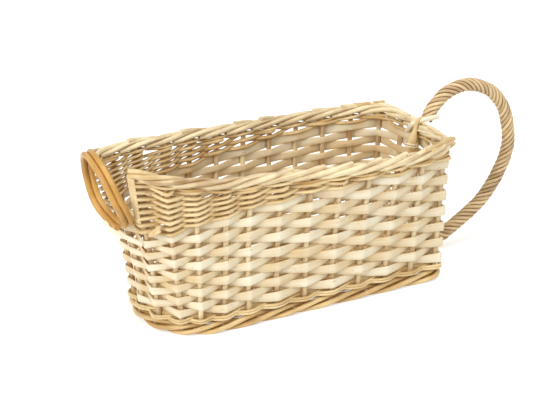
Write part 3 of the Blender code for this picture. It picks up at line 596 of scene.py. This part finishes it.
for row in range(skein["rows"]):
    maker = random.Random(300 + row)
    station = np.arange(stations)
    pitch = skeinPitch(station)
    play = np.array([maker.uniform(-1, 1) for n in station])
    height = skeinStart + pitch * (row + 0.5) + skein["heightPlay"] * play
    side = np.where((station + row) % 2 == 0, 1, -1)
    out = clearOut(station, height, side, skein["spread"])
    centre, normal, up = wallFrame(station, height)
    share = np.where(side > 0, skein["inFront"], skein["behind"])
    play = np.array([maker.uniform(-1, 1) for n in station])
    width = pitch / 2 * share * (1 + skein["widthPlay"] * play)
    seats = centre + normal * out[:, None]
    rows = []
    for index in range(stations):
        after = (index + 1) % stations
        for t in skein["places"]:
            spot = seats[index] * (1 - t) + seats[after] * t
            lean = up[index] * (1 - t) + up[after] * t
            rows.append([*spot, width[index] * (1 - t) + width[after] * t, *lean])
    rows = np.array(rows)
    # painted shade: darker where it runs behind, most at the nose's corner, and along its upper and
    # lower edges
    depth = np.where(side > 0, 0.0, skein["shade"])
    depth = np.interp(np.arange(len(rows)) / len(skein["places"]), np.arange(stations + 1),
                      np.append(depth, depth[0]))
    tone = maker.choice(skein["tones"]) + depth * (2 - depth / skein["shade"])
    if side[0] < 0:
        tone[:len(skein["places"])] += np.interp(skein["places"],
                                                 (skein["cornerFrom"], skein["cornerTo"]),
                                                 (skein["cornerShade"], 0.0))
    rod = layRod(rows[:, :3], rows[:, 3], closed=True, section=skeinSection,
                 girth=skein["girth"], ups=rows[:, 4:], tone=tone, toneDrift=0.22,
                 seed=300 + row, edge=skein["edge"])
    finishPiece(f"skeinRow{row + 1:02d}", [rod], f"skein_row_{row + 1:02d}", skeinLook,
                smoother=True)
print("skeins woven")

# the packing: thin rods above the skeins

packing = {"gap": 0.00035, "mostRadius": 0.0015, "share": 0.66, "stakeRadius": 0.0019,
           "loopLast": 8, "lastStations": (6, 5, 4, 3, 3, 2), "heightPlay": 0.00012,
           "turns": ((0.72, 0.78, 0.2), (1.08, 0.0, 0.5), (0.72, -0.78, 0.8)),
           "spacing": 0.0012, "straight": 0.55, "play": (0.06, 0.05), "shade": 0.45,
           "ringTone": 0.12, "loopTone": 0.18, "sideTone": 0.10, "edge": 0.5}
border = {"rodRadius": 0.0021, "endRadius": 0.0018, "ringRadius": 0.0026, "outer": 0.0047,
          "bend": 0.0032, "rods": 4, "last": 0.7, "startReach": 0.0036,
          "spacing": 0.0016, "startSpacing": 0.0014, "stationSteps": 6,
          "cutStations": (4, 5, 6, 7, 8, 9, 10, 11, 12, 14, 15, 16, 18, 19, 21, 23),
          "cutPlaces": (1.55, 1.8, 2.05, 2.3), "cutLift": (0.0, 0.0007, 0.0014, 0.0021),
          "cutPlay": 0.12, "cutSpacing": 0.0012,
          "tones": (0.0, 0.3), "heart": {"reach": 0.0038, "fade": 0.0015, "dark": 0.5}}


def packingRows(station):
    # the rows that a stake's packing has: two rings, the loop's two and the raised side's
    place = min(station % stations, stations - station % stations)
    if place > packing["loopLast"]:
        return 2
    return 4 + 2 * len([last for last in packing["lastStations"] if last >= max(place, nearPost)])


def stakePitch(stop):
    posts = (nearPost, farPost) if stop % stations == 0 else (stop,)
    rim = sum(float(rimHeight(post)) for post in posts) / len(posts)
    room = rim - border["outer"] - packing["gap"] - float(skeinTop(stop))
    return room / packingRows(stop)


def packingPitch(station):
    whole = math.floor(station)
    share = station - whole
    return stakePitch(whole) * (1 - share) + stakePitch(whole + 1) * share


def packingRadius(station):
    return min(packing["mostRadius"], packing["share"] * packingPitch(station))


def packingHeight(station, row):
    return float(skeinTop(station)) + packingPitch(station) * (row + 0.5)


def packingSpread(station):
    return packing["stakeRadius"] + clearance + packingRadius(station)


def wovenSpot(station, row, play):
    side = 1 if (station + row) % 2 == 0 else -1
    height = packingHeight(station, row) + play
    out = float(clearOut(station, height, side, packingSpread(station)))
    return [*wallPoint(station, height, out), packingRadius(station), side]


def turnSpots(station, row, way):
    # round a stake, from one row to the next
    side = 1 if (station + row) % 2 == 0 else -1
    pitch = float(stationPitch(station, packingHeight(station, row)))
    spots = []
    for alongShare, outShare, riseShare in packing["turns"]:
        spread = packingSpread(station)
        place = station + way * spread * alongShare / pitch
        point = wallPoint(place, packingHeight(place, row + riseShare), side * spread * outShare)
        spots.append([*point, packingRadius(station), side * outShare])
    return spots


def packingPlay(maker):
    return maker.uniform(-packing["heightPlay"], packing["heightPlay"])


def layPacking(name, node, spots, closed, tone, seed):
    route = easedRoute(spots, packing["spacing"], closed, packing["straight"])
    radii = unevenRadii(route[:, 3], route, packing["spacing"], seed, packing["play"])
    # painted shade: darker where the rod runs behind a stake, and along its upper and lower edges
    tones = tone + packing["shade"] * (1 - route[:, 4]) / 2
    rod = layRod(route[:, :3], radii, 4, closed, tone=tones, toneDrift=0.25, seed=seed,
                 edge=packing["edge"])
    finishPiece(name, [rod], node, rodLook)


for row in range(2):
    maker = random.Random(400 + row)
    spots = [wovenSpot(place, row, packingPlay(maker)) for place in range(stations)]
    layPacking(f"packingRing{row + 1}", f"packing_ring_{row + 1}", spots, True,
               packing["ringTone"], 400 + row)

maker = random.Random(404)
last = packing["loopLast"]
forth = list(range(-last, last + 1))
spots = [wovenSpot(place, 2, packingPlay(maker)) for place in forth]
spots += turnSpots(last, 2, 1)
spots += [wovenSpot(place, 3, packingPlay(maker)) for place in forth[::-1]]
spots += turnSpots(-last, 2, -1)[::-1]
layPacking("packingLoop", "packing_loop", spots, True, packing["loopTone"], 404)

for name, node, post, way in (("packingNear", "packing_near", nearPost, 1),
                              ("packingFar", "packing_far", farPost, -1)):
    maker = random.Random(410 + way)
    row = 4
    spots = []
    for last in packing["lastStations"]:
        forth = [post + way * count for count in range(last)]
        spots += [wovenSpot(place, row, packingPlay(maker)) for place in forth]
        spots += turnSpots(forth[-1], row, way)
        spots += [wovenSpot(place, row + 1, packingPlay(maker)) for place in forth[::-1]]
        if row < 2 + 2 * len(packing["lastStations"]):
            spots += turnSpots(post, row + 1, -way)
        row += 2
    layPacking(name, node, spots, False, packing["sideTone"], 410 + way)
print("packing woven")

# the lip between the notch posts

lip = {"radius": 0.0015, "reach": 0.70, "row": 3.5, "spacing": 0.001}
places = np.linspace(-lip["reach"], lip["reach"], 15)
spots = [wallPoint(place, packingHeight(place, lip["row"]) + lip["radius"] + clearance)
         for place in places]
rod = layRod(easedRoute(spots, lip["spacing"]), lip["radius"], 4, tone=0.25, seed=420)
finishPiece("lipRod", [rod], "lip_rod", rodLook)

# the stakes: up the wall, bent down to the right and rolled into the border

stake = {"radius": 0.00192, "start": footHeight + clearance, "steps": 12,
         "play": (0.03, 0.04), "tones": (0.35, 0.75), "fade": 0.004}


def borderPoint(station, phase):
    # on the roll, a quarter turn further round it with each phase
    centre, normal, up = wallFrame(station, rimHeight(station))
    turn = 0.5 * math.pi * phase
    return centre + border["ringRadius"] * (normal * math.sin(turn) - up * math.cos(turn))


def borderTail(first, start, stop):
    count = max(2, int(math.ceil((stop - start) * border["stationSteps"])))
    return [borderPoint(place, place - first) for place in np.linspace(start, stop, count + 1)]


for station in range(0, farPost + 1):
    maker = random.Random(500 + station)
    places = np.arange(station, station + border["rods"] + 1, 0.1)
    # painted shade: darker deep in the border's roll of rods
    heart = {"line": wallCentre(places, rimHeight(places)), **border["heart"]}
    rim = float(rimHeight(station))
    joint = rim - border["ringRadius"]
    top = joint - border["bend"]
    if station == 0:
        top = packingHeight(0, lip["row"]) - clearance
    heights = np.linspace(stake["start"], top, stake["steps"] + 1)
    rows = [[*wallPoint(station, height), stake["radius"]] for height in heights]
    if 0 < station < farPost:
        pitch = float(stationPitch(station, rim))
        bend = border["bend"] / pitch
        lift = border["bend"] * (1 - math.sqrt(0.5))
        rows.append([*wallPoint(station + bend * (1 - math.sqrt(0.5)), joint - lift),
                     border["rodRadius"]])
        stop = min(station + border["rods"] - 1 + border["last"], farPost + bend)
        tail = borderTail(station, station + bend, stop)
        thin = np.linspace(border["rodRadius"], border["endRadius"], len(tail))
        rows += [[*point, radius] for point, radius in zip(tail, thin)]
    route = easedRoute(rows, border["spacing"])
    radii = unevenRadii(route[:, 3], route, border["spacing"], 500 + station, stake["play"])
    # painted shade: brown in the wall, where the stake lies deep between the weavers, and paler
    # where it is bent down into the border
    tone = maker.uniform(*stake["tones"])
    paler = np.clip((route[:, 2] - joint + stake["fade"]) / stake["fade"], 0, 1)
    tones = tone * (1 - paler) + maker.uniform(*border["tones"]) * paler
    rods = [layRod(route[:, :3], radii, 4, tone=tones, toneDrift=0.2, seed=500 + station,
                   heart=heart)]
    if station in border["cutStations"]:  # a cut end lies on top
        rows = [borderPoint(station + place + maker.uniform(0, border["cutPlay"]), place)
                + np.array([0.0, 0.0, lift])
                for place, lift in zip(border["cutPlaces"], border["cutLift"])]
        rods.append(layRod(easedRoute(rows, border["cutSpacing"]), border["endRadius"], 4,
                           tone=maker.uniform(*border["tones"]), seed=560 + station,
                           heart=heart))
    finishPiece(f"stake{station:02d}", rods, f"stake_{station:02d}", stakeLook)

reach = border["startReach"] / float(stationPitch(nearPost, rimHeight(nearPost)))
for count in (1, 2):
    first = nearPost - count
    stop = first + border["rods"] - 1 + border["last"]
    route = easedRoute(borderTail(first, nearPost - reach, stop), border["startSpacing"])
    rod = layRod(route, border["endRadius"], 4, tone=0.3, seed=530 + count)
    finishPiece(f"borderRod{count}", [rod], f"border_rod_{count}", rodLook)

# rods of the border that run on past the back corners
ends = {"radius": 0.0017, "steps": 8, "tone": 0.15, "toneStep": 0.12,
        "rods": ({"from": 11.2, "to": 12.0, "out": 0.0022, "rise": 0.0026, "past": 1.42,
                  "lift": 0.0010},
                 {"from": 11.5, "to": 12.2, "out": 0.0030, "rise": -0.0012, "past": 1.50,
                  "lift": -0.0004},
                 {"from": 11.0, "to": 11.9, "out": 0.0012, "rise": 0.0042, "past": 1.30,
                  "lift": 0.0012},
                 {"from": 16.9, "to": 16.0, "out": 0.0010, "rise": 0.0040, "past": 1.15,
                  "lift": 0.0008})}
rods = []
for index, end in enumerate(ends["rods"]):
    first, second = (wallPoint(place, rimHeight(place) + end["rise"], end["out"])
                     for place in (end["from"], end["to"]))
    rows = [first + (second - first) * t + np.array([0.0, 0.0, end["lift"] * t * t])
            for t in np.linspace(0, end["past"], ends["steps"] + 1)]
    rods.append(layRod(rows, ends["radius"], 4, tone=ends["tone"] + ends["toneStep"] * index,
                       seed=580 + index))
finishPiece("borderCornerEnds", rods, None, rodLook)

# a pair of thin rods twined between the stakes just under the border
twine = {"radius": 0.0012, "spread": 0.0033, "lift": 0.0011, "drop": 0.0043,
         "spacing": 0.0012, "play": (0.1, 0.05), "tone": 0.3, "edge": 0.5}
rods = []
for strand in range(2):
    spots = []
    for place in np.arange(2 * nearPost, 2 * farPost + 1) / 2:
        turn = math.pi * (place + strand)
        height = rimHeight(place) - twine["drop"]
        centre, normal, up = wallFrame(place, height)
        spots.append(centre + normal * twine["spread"] * math.cos(turn)
                     + up * twine["lift"] * math.sin(turn))
    route = easedRoute(spots, twine["spacing"])
    radii = unevenRadii(twine["radius"], route, twine["spacing"], 570 + strand, twine["play"])
    # painted shade along each rod's upper and lower edges
    rods.append(layRod(route, radii, 3, tone=twine["tone"] * (1 + strand), toneDrift=0.3,
                       seed=570 + strand, edge=twine["edge"]))
finishPiece("borderTwine", rods, None, rodLook)

# the flat strip up the near post, which covers the turns of the packing
post = {"half": 0.0029, "out": 0.0050, "ahead": 0.05, "low": 0.0125, "high": 0.0005,
        "steps": 11, "spacing": 0.0015, "turned": 0.2, "girth": 0.01}
low = float(skeinTop(nearPost)) + post["low"]
high = float(rimHeight(nearPost)) - post["high"]
heights = np.linspace(low, high, post["steps"] + 1)
bandSection = stripSection("bandSection", [
    (-0.16, -0.9), (0.05, -1.0), (0.17, -0.7), (0.2, 0.0),
    (0.17, 0.7), (0.05, 1.0), (-0.16, 0.9), (-0.17, 0.0)])
spots = [wallPoint(nearPost - post["ahead"], height, post["out"]) for height in heights]
ways = [wallFrame(nearPost, height)[1] for height in heights]
route = easedRoute(np.c_[spots, ways], post["spacing"])
upright = unit(np.gradient(route[:, :3], axis=0))
ups = unit(np.cross(unit(route[:, 3:] - np.array([post["turned"], 0.0, 0.0])), upright))
rod = layRod(route[:, :3], post["half"], section=bandSection, girth=post["girth"], ups=ups,
             tone=0.15, seed=590)
finishPiece("postStrip", [rod], None, rodLook)

# a weaver's end, folded back where it comes out of the packing on the near side
# each spot is a station, a rise above the skeins and a way out from the wall
folded = {"half": 0.0024, "spacing": 0.0006, "facing": (0.45, 0.1, 1.0), "girth": 0.01,
          "spots": ((1.22, 0.0035, 0.0010), (1.36, 0.0045, 0.0058), (1.52, 0.0060, 0.0068),
                    (1.66, 0.0082, 0.0066), (1.70, 0.0096, 0.0072), (1.64, 0.0088, 0.0084),
                    (1.50, 0.0060, 0.0082))}
spots = [wallPoint(place, float(skeinTop(place)) + rise, out)
         for place, rise, out in folded["spots"]]
route = easedRoute(spots, folded["spacing"])
ups = unit(np.tile(folded["facing"], (len(route), 1)))
# painted shade on its upper and lower edges
rod = layRod(route, folded["half"], section=bandSection, girth=folded["girth"], ups=ups,
             tone=0.45, toneDrift=0.3, seed=592, edge=0.3)
finishPiece("foldedWeaverEnd", [rod], None, rodLook)
print("stakes and border set")

# the base: rounds of rod woven over and under ribs that spread from a spine of two sticks

base = {"underside": footHeight + clearance, "inset": 0.0057, "spineFrontInset": 0.040,
        "spineBackInset": 0.040, "rounds": 12, "rodRadius": 0.0014, "ribRadius": 0.0009,
        "ribShares": (0.0, 0.5, 0.97), "ribSpacing": 0.006, "spineHalf": 0.0011,
        "spineShare": 1.15, "wave": 0.0008, "heart": 0.03, "spacing": 0.0022,
        "tone": 0.2, "toneSpread": 0.3}
baseMiddle = base["underside"] + base["rodRadius"] + base["wave"]
baseFront = base["spineFrontInset"] - wall["foot"]["tip"] + base["inset"] - wall["planCentre"]
baseBack = wall["foot"]["back"] - base["inset"] - base["spineBackInset"] - wall["planCentre"]


def basePoint(station, share, height):
    edge = wallPoint(station, height, -base["inset"])
    spine = min(max(edge[0], baseFront), baseBack)
    return np.array([spine + (edge[0] - spine) * share, edge[1] * share, height])


rods = []
for place in range(stations):
    points = [basePoint(place, share, baseMiddle) for share in base["ribShares"]]
    rods.append(layRod(easedRoute(points, base["ribSpacing"]), base["ribRadius"], 1, tone=0.5,
                       seed=600 + place))
for offset in (-base["spineHalf"], base["spineHalf"]):
    points = [(x, offset, baseMiddle) for x in np.linspace(baseFront, baseBack, 8)]
    rods.append(layRod(points, base["ribRadius"] * base["spineShare"], 2, tone=0.4, seed=640))
for lap in range(base["rounds"]):
    share = 1 - (2 * lap + 1) / (2 * base["rounds"]) * (1 - base["heart"])
    points = []
    for place in np.arange(stations * 2) / 2:
        over = math.cos(math.pi * (place + lap))
        points.append(basePoint(place, share, baseMiddle + base["wave"] * over))
    route = easedRoute(points, base["spacing"], True)
    tone = base["tone"] + base["toneSpread"] * ((lap * 7) % 5) / 5
    rods.append(layRod(route, base["rodRadius"], 2, True, tone=tone, toneDrift=0.2,
                       seed=650 + lap))
finishPiece("baseMat", rods, "base_mat", rodLook, sharpAngle=70)
print("base woven")

# the handle: seven rods twisted into a bow, its bare end tucked inside the wall

handle = {"reach": 0.0837, "rise": 0.0257, "ground": 0.0039, "ropeRadius": 0.0053, "strands": 7,
          "lead": 0.031, "strandRadius": 0.00146, "coil": 0.00378, "fill": 0.0029,
          "startReach": 0.0091, "startRise": 0.0073, "footBack": 0.0019, "footDrop": 0.0035,
          "spacing": 0.0011, "narrowRuns": (0.0, 0.004, 0.009), "narrow": (0.84, 0.95, 1.0),
          "coilPlay": (0.035, 0.05), "play": (0.07, 0.06), "tone": 0.05, "toneSpread": 0.35,
          "heart": {"reach": 0.0051, "fade": 0.0012, "dark": 1.05},
          "route": ((0.128, 0.874), (0.200, 0.927), (0.256, 0.959), (0.335, 0.984),
                    (0.438, 1.0), (0.525, 0.999), (0.613, 0.985), (0.703, 0.958),
                    (0.794, 0.917), (0.876, 0.853), (0.930, 0.793), (0.968, 0.715),
                    (0.993, 0.623), (0.998, 0.568), (0.988, 0.515), (0.966, 0.462),
                    (0.935, 0.412), (0.896, 0.362), (0.852, 0.313), (0.801, 0.265),
                    (0.743, 0.218), (0.668, 0.173), (0.575, 0.130), (0.468, 0.086),
                    (0.370, 0.048), (0.289, 0.019), (0.200, 0.004))}
handleTop = wall["rimBack"] + handle["rise"]
handleLow = handle["ropeRadius"] + handle["ground"]


def handlePlace(shares):
    x = wall["rim"]["back"] + handle["reach"] * shares[0] - wall["planCentre"]
    return [x, 0.0, handleLow + (handleTop - handleLow) * shares[1]]


borderCentre = wallPoint(backStation, rimHeight(backStation))
ropeStart = borderCentre + np.array([handle["startReach"], 0.0, handle["startRise"]])
wallEnd = wallPoint(backStation, handleLow, base["inset"])[0]
ropeFoot = ropeStart - np.array([handle["footBack"], 0.0, handle["footDrop"]])
bow = easedRoute([list(ropeFoot), list(ropeStart)] + [handlePlace(pair) for pair in handle["route"]]
                 + [[wallEnd, 0.0, handleLow]], handle["spacing"])
along = unit(np.gradient(bow, axis=0))
sideways = np.array([0.0, 1.0, 0.0])
across = unit(np.cross(along, sideways))
run = runLengths(bow)

# painted shade in the rope's grooves: a dark rod along its middle, and each strand darker towards
# it
rods = [layRod(bow[::3], handle["fill"], 3, tone=1.0, toneDrift=0.0, seed=700)]
for strand in range(handle["strands"]):
    twist = 2 * math.pi * (run / handle["lead"] + strand / handle["strands"])
    coil = handle["coil"] * (1 + wander(run, 710 + strand, *handle["coilPlay"]))
    coil = coil * np.interp(run, handle["narrowRuns"], handle["narrow"])
    route = bow + coil[:, None] * (across * np.cos(twist)[:, None]
                                   - sideways * np.sin(twist)[:, None])
    radii = handle["strandRadius"] * (1 + wander(run, 720 + strand, *handle["play"]))
    tone = handle["tone"] + handle["toneSpread"] * ((strand * 3) % 7) / 7
    rods.append(layRod(route, radii, 4, tone=tone, toneDrift=0.16, seed=730 + strand,
                       heart={"line": bow, **handle["heart"]}))
finishPiece("handleRope", rods, "handle_rope", handleLook)

# the bare end: thinned over the border, and a leaf-shaped peg down inside the back wall
core = {"neck": 0.0016, "tuck": 0.019, "side": 0.006, "inward": 0.0099, "intoRope": 0.003,
        "spacing": 0.0008, "overBorder": ((180, 1.0), (140, 0.85), (100, 0.55), (65, 0.2)),
        "sizes": ((0.0, 0.0018), (0.25, 0.0029), (0.55, 0.0037), (0.85, 0.0036), (1.0, 0.0030),
                  (1.25, 0.0016))}
beside = np.array([0.0, core["side"], 0.0])
reach = border["outer"] + 2 * clearance + core["neck"]
points = []
for share in (1.0, 0.5):
    height = borderCentre[2] - border["outer"] - core["tuck"] * share
    points.append(wallPoint(backStation, height, -core["inward"]) - beside)
for degrees, sideShare in core["overBorder"]:
    turn = math.radians(degrees)
    points.append(borderCentre + reach * np.array([math.cos(turn), 0.0, math.sin(turn)])
                  - beside * sideShare)
points.append(ropeStart - along[0] * (core["neck"] + 2 * clearance))
points.append(ropeStart + along[0] * core["intoRope"])
peg = easedRoute(points, core["spacing"])
pegRun = runLengths(peg)
shares, sizes = zip(*core["sizes"])
radii = np.interp(pegRun / core["tuck"], shares, sizes)
rod = layRod(peg, radii, 5, tone=0.1, seed=760)
finishPiece("handleCore", [rod], "handle_core", rodLook)

# the thin strand wound round the peg
lash = {"radius": 0.0006, "turns": 2, "gap": 0.0006, "drop": 0.0045, "steps": 14,
        "lookAhead": 0.0006, "spacing": 0.0008}
lastPlace = core["tuck"] - lash["drop"]
points = []
for index in range(lash["steps"] * lash["turns"] + 1):
    turn = 2 * math.pi * index / lash["steps"]
    place = lastPlace - (lash["gap"] + 2 * lash["radius"]) * index / lash["steps"]
    reach = np.interp(place, pegRun, radii) + clearance + lash["radius"]
    spot, ahead = (np.array([np.interp(at, pegRun, peg[:, axis]) for axis in range(3)])
                   for at in (place, place + lash["lookAhead"]))
    over = np.cross(unit(ahead - spot), sideways)
    points.append(spot + reach * (over * math.cos(turn) + sideways * math.sin(turn)))
rod = layRod(easedRoute(points, lash["spacing"]), lash["radius"], 2, tone=0.2, seed=770)
finishPiece("handleLashing", [rod], "handle_lashing", skeinLook)

# a thick strand and a thin one that tie the bow down over the border
band = {"radius": 0.0020, "spacing": 0.0009,
        "route": ((0.1098, -0.0055, 0.1135), (0.1060, -0.0053, 0.1134), (0.1021, -0.0050, 0.1131),
                  (0.0982, -0.0040, 0.1125), (0.0940, -0.0037, 0.1118), (0.0897, -0.0020, 0.1100),
                  (0.0888, 0.0010, 0.1062), (0.0890, 0.0046, 0.1025))}
rod = layRod(easedRoute(band["route"], band["spacing"]), band["radius"], 4, tone=0.05, seed=780)
finishPiece("handleBand", [rod], None, skeinLook)
tie = {"radius": 0.0008, "spacing": 0.0009,
       "route": ((0.0905, 0.0040, 0.1020), (0.0909, 0.0024, 0.1042), (0.0914, -0.0094, 0.1065),
                 (0.0929, -0.0236, 0.1083), (0.0939, -0.0289, 0.1083))}
rod = layRod(easedRoute(tie["route"], tie["spacing"]), tie["radius"], 2, tone=0.3, seed=782)
finishPiece("handleTie", [rod], None, skeinLook)
print("handle twisted")

# the neck ring: a rattan rod wound twice, and the weaver that straps it to the nose

ring = {"radius": 0.0286, "rodRadius": 0.0020, "gap": 0.00045, "turns": 2, "lean": 20.0,
        "yaw": 13.0, "start": -14.0, "endGap": 8.0, "step": 0.78, "seatRise": 0.0047,
        "seatGap": 0.0022, "side": 0.006, "shownRadius": 0.00222,
        "bowed": ((-180, 0.0030), (-135, 0.0052), (-90, 0.0060), (-50, 0.0052), (-22, 0.0028),
                  (0, 0.0), (14, 0.0), (27, -0.0024), (50, -0.0055), (90, -0.0030),
                  (135, 0.0012), (180, 0.0030)),
        "bowWindow": 75, "points": 49, "spacing": 0.0014, "play": (0.04, 0.05)}
lean, yaw = math.radians(ring["lean"]), math.radians(ring["yaw"])
ringStart = math.radians(ring["start"])
ringLevel = np.array([math.cos(yaw), -math.sin(yaw), 0.0])
ringAxis = ringLevel * math.cos(lean) + np.array([0.0, 0.0, math.sin(lean)])
ringDown = ringLevel * math.sin(lean) - np.array([0.0, 0.0, math.cos(lean)])
ringSideways = np.array([math.sin(yaw), math.cos(yaw), 0.0])


def ringPoint(middle, turn):
    # flat for most of each turn, then one step along the axis to the next
    share = (turn - ringStart) / (2 * math.pi)
    whole = math.floor(share)
    step = max(0.0, (share - whole - ring["step"]) / (1 - ring["step"]))
    pitch = 2 * ring["rodRadius"] + ring["gap"]
    return (middle + ringAxis * pitch * (whole + step)
            + ring["radius"] * (ringDown * math.cos(turn) + ringSideways * math.sin(turn)))


seat = wallPoint(0, wall["waistHeight"] + ring["seatRise"],
                 skein["spread"] + skein["thick"] / 2 + ring["seatGap"] + ring["rodRadius"])
middle = np.array([seat[0], seat[1] - ring["side"], seat[2]]) - ringPoint(np.zeros(3), 2 * math.pi)
span = 2 * math.pi * ring["turns"] - math.radians(ring["endGap"])
# the rod isn't a true circle: it bows to one side of it and to the other, at these degrees
half = ring["bowWindow"] // 2
degrees = np.arange(-180 - half, 180 + half)
window = np.hanning(ring["bowWindow"])
bows = np.interp(degrees, *zip(*ring["bowed"]), period=360)
bows = np.convolve(bows, window / window.sum(), "same")[half:-half]
spots = []
for turn in np.linspace(ringStart, ringStart + span, ring["points"]):
    ringBow = np.interp(math.degrees(turn), degrees[half:-half], bows, period=360)
    spots.append(ringPoint(middle, turn) + ringAxis * ringBow)
route = easedRoute(spots, ring["spacing"])
radii = unevenRadii(ring["shownRadius"], route, ring["spacing"], 800, ring["play"])
rod = layRod(route, radii, 4, tone=0.3, toneDrift=0.2, seed=800)
finishPiece("neckRing", [rod], "neck_ring", ringLook)

strap = {"radius": 0.0012, "half": 0.0016, "row": 11, "spacing": 0.001, "girth": 0.01,
         "facing": (0.25, 0.0, 1.0),
         "shares": ((-1.0, 0.0, 1.0), (-0.6, 0.45, 0.5), (-0.25, 1.0, 0.12), (0.0, 1.0, 0.06),
                    (0.25, 1.0, 0.34), (0.6, 0.45, 0.62), (1.0, 0.0, 1.0))}
front = ringPoint(middle, math.asin(ring["side"] / ring["radius"]))
ahead = front[0] - ring["rodRadius"] - clearance - strap["radius"]
drop = front[2] - (skeinStart + float(skeinPitch(nearPost)) * (strap["row"] + 0.5))
points = []
for place, forward, down in strap["shares"]:
    height = front[2] - drop * down
    out = float(clearOut(place, height, 1, skein["spread"])) + skein["thick"] / 2
    spot = wallPoint(place, height, out + clearance + strap["radius"])
    points.append([spot[0] + (ahead - spot[0]) * forward, spot[1], height])
route = easedRoute(points, strap["spacing"])
ups = unit(np.tile(strap["facing"], (len(route), 1)))
rod = layRod(route, strap["half"], section=bandSection, girth=strap["girth"], ups=ups,
             tone=0.15, seed=820)
finishPiece("ringHolder", [rod], "ring_holder", skeinLook)
bpy.data.objects.remove(skeinSection)
bpy.data.objects.remove(bandSection)
print("neck ring strapped")

# floor, light and camera

stage = {"floorSize": 6.0, "floorDrop": 0.0002, "floorColour": (0.9, 0.9, 0.9),
         "floorGlow": 0.45, "ambient": 0.45}


def paperLook():
    look = bpy.data.materials.new("whitePaperFloor")
    look.use_nodes = True
    nodes, links = look.node_tree.nodes, look.node_tree.links
    shader = nodes["Principled BSDF"]
    shader.inputs["Base Color"].default_value = (*stage["floorColour"], 1)
    shader.inputs["Roughness"].default_value = 0.9
    seen = nodes.new("ShaderNodeLightPath").outputs
    glow = mathNode(nodes, links, "MAXIMUM", seen["Is Camera Ray"], seen["Is Glossy Ray"])
    strength = mathNode(nodes, links, "MULTIPLY", glow, stage["floorGlow"])
    shader.inputs["Emission Color"].default_value = (1, 1, 1, 1)
    links.new(strength, shader.inputs["Emission Strength"])
    return look


bpy.ops.mesh.primitive_plane_add(size=stage["floorSize"], location=(0, 0, -stage["floorDrop"]))
floor = bpy.context.object
floor.name = "paperFloor"
bpy.ops.object.transform_apply(location=True, rotation=True, scale=True)
floor.data.materials.append(paperLook())

world = bpy.data.worlds.new("studioLight")
bpy.context.scene.world = world
world.use_nodes = True
nodes, links = world.node_tree.nodes, world.node_tree.links
backdrop = nodes["Background"]
backdrop.inputs["Color"].default_value = (1, 1, 1, 1)
# white where it is seen, dimmer as light on the basket
seen = nodes.new("ShaderNodeLightPath").outputs
direct = mathNode(nodes, links, "MAXIMUM", seen["Is Camera Ray"], seen["Is Glossy Ray"])
shown = mathNode(nodes, links, "MAXIMUM", direct, seen["Is Transmission Ray"])
level = nodes.new("ShaderNodeMapRange")
level.inputs["To Min"].default_value = stage["ambient"]
level.inputs["To Max"].default_value = 1.0
links.new(shown, level.inputs["Value"])
links.new(level.outputs["Result"], backdrop.inputs["Strength"])

lamps = {
    "keyLamp": {"from": (0.9, -1.7, 1.7), "size": 1.0, "watts": 12},
    "fillLamp": {"from": (-1.8, -0.6, 1.0), "size": 1.0, "watts": 22},
    "topLamp": {"from": (0.1, -0.4, 2.0), "size": 1.0, "watts": 12},
}
aim = Vector((-0.01, 0.0, 0.06))
for name, lamp in lamps.items():
    spot = Vector(lamp["from"])
    bpy.ops.object.light_add(type="AREA", location=spot,
                             rotation=(aim - spot).to_track_quat("-Z", "Y").to_euler())
    light = bpy.context.object
    light.name = name
    light.data.shape = "DISK"
    light.data.size = lamp["size"]
    light.data.energy = lamp["watts"]

view = {"azimuth": -29.1, "elevation": 23.34, "distance": 1.6465, "lens": 145.68,
        "target": (-0.028375, 0.0, 0.0666), "sensor": 36, "farthest": 20}
turn, rise = math.radians(view["azimuth"]), math.radians(view["elevation"])
back = Vector((math.sin(turn) * math.cos(rise), -math.cos(turn) * math.cos(rise), math.sin(rise)))
bpy.ops.object.camera_add(location=Vector(view["target"]) + back * view["distance"],
                          rotation=back.to_track_quat("Z", "Y").to_euler())
eye = bpy.context.object
eye.name = "shopCamera"
eye.data.sensor_width = view["sensor"]
eye.data.lens = view["lens"]
eye.data.clip_end = view["farthest"]
bpy.context.scene.camera = eye
bpy.context.scene.view_settings.view_transform = "Standard"

print("scene ready")
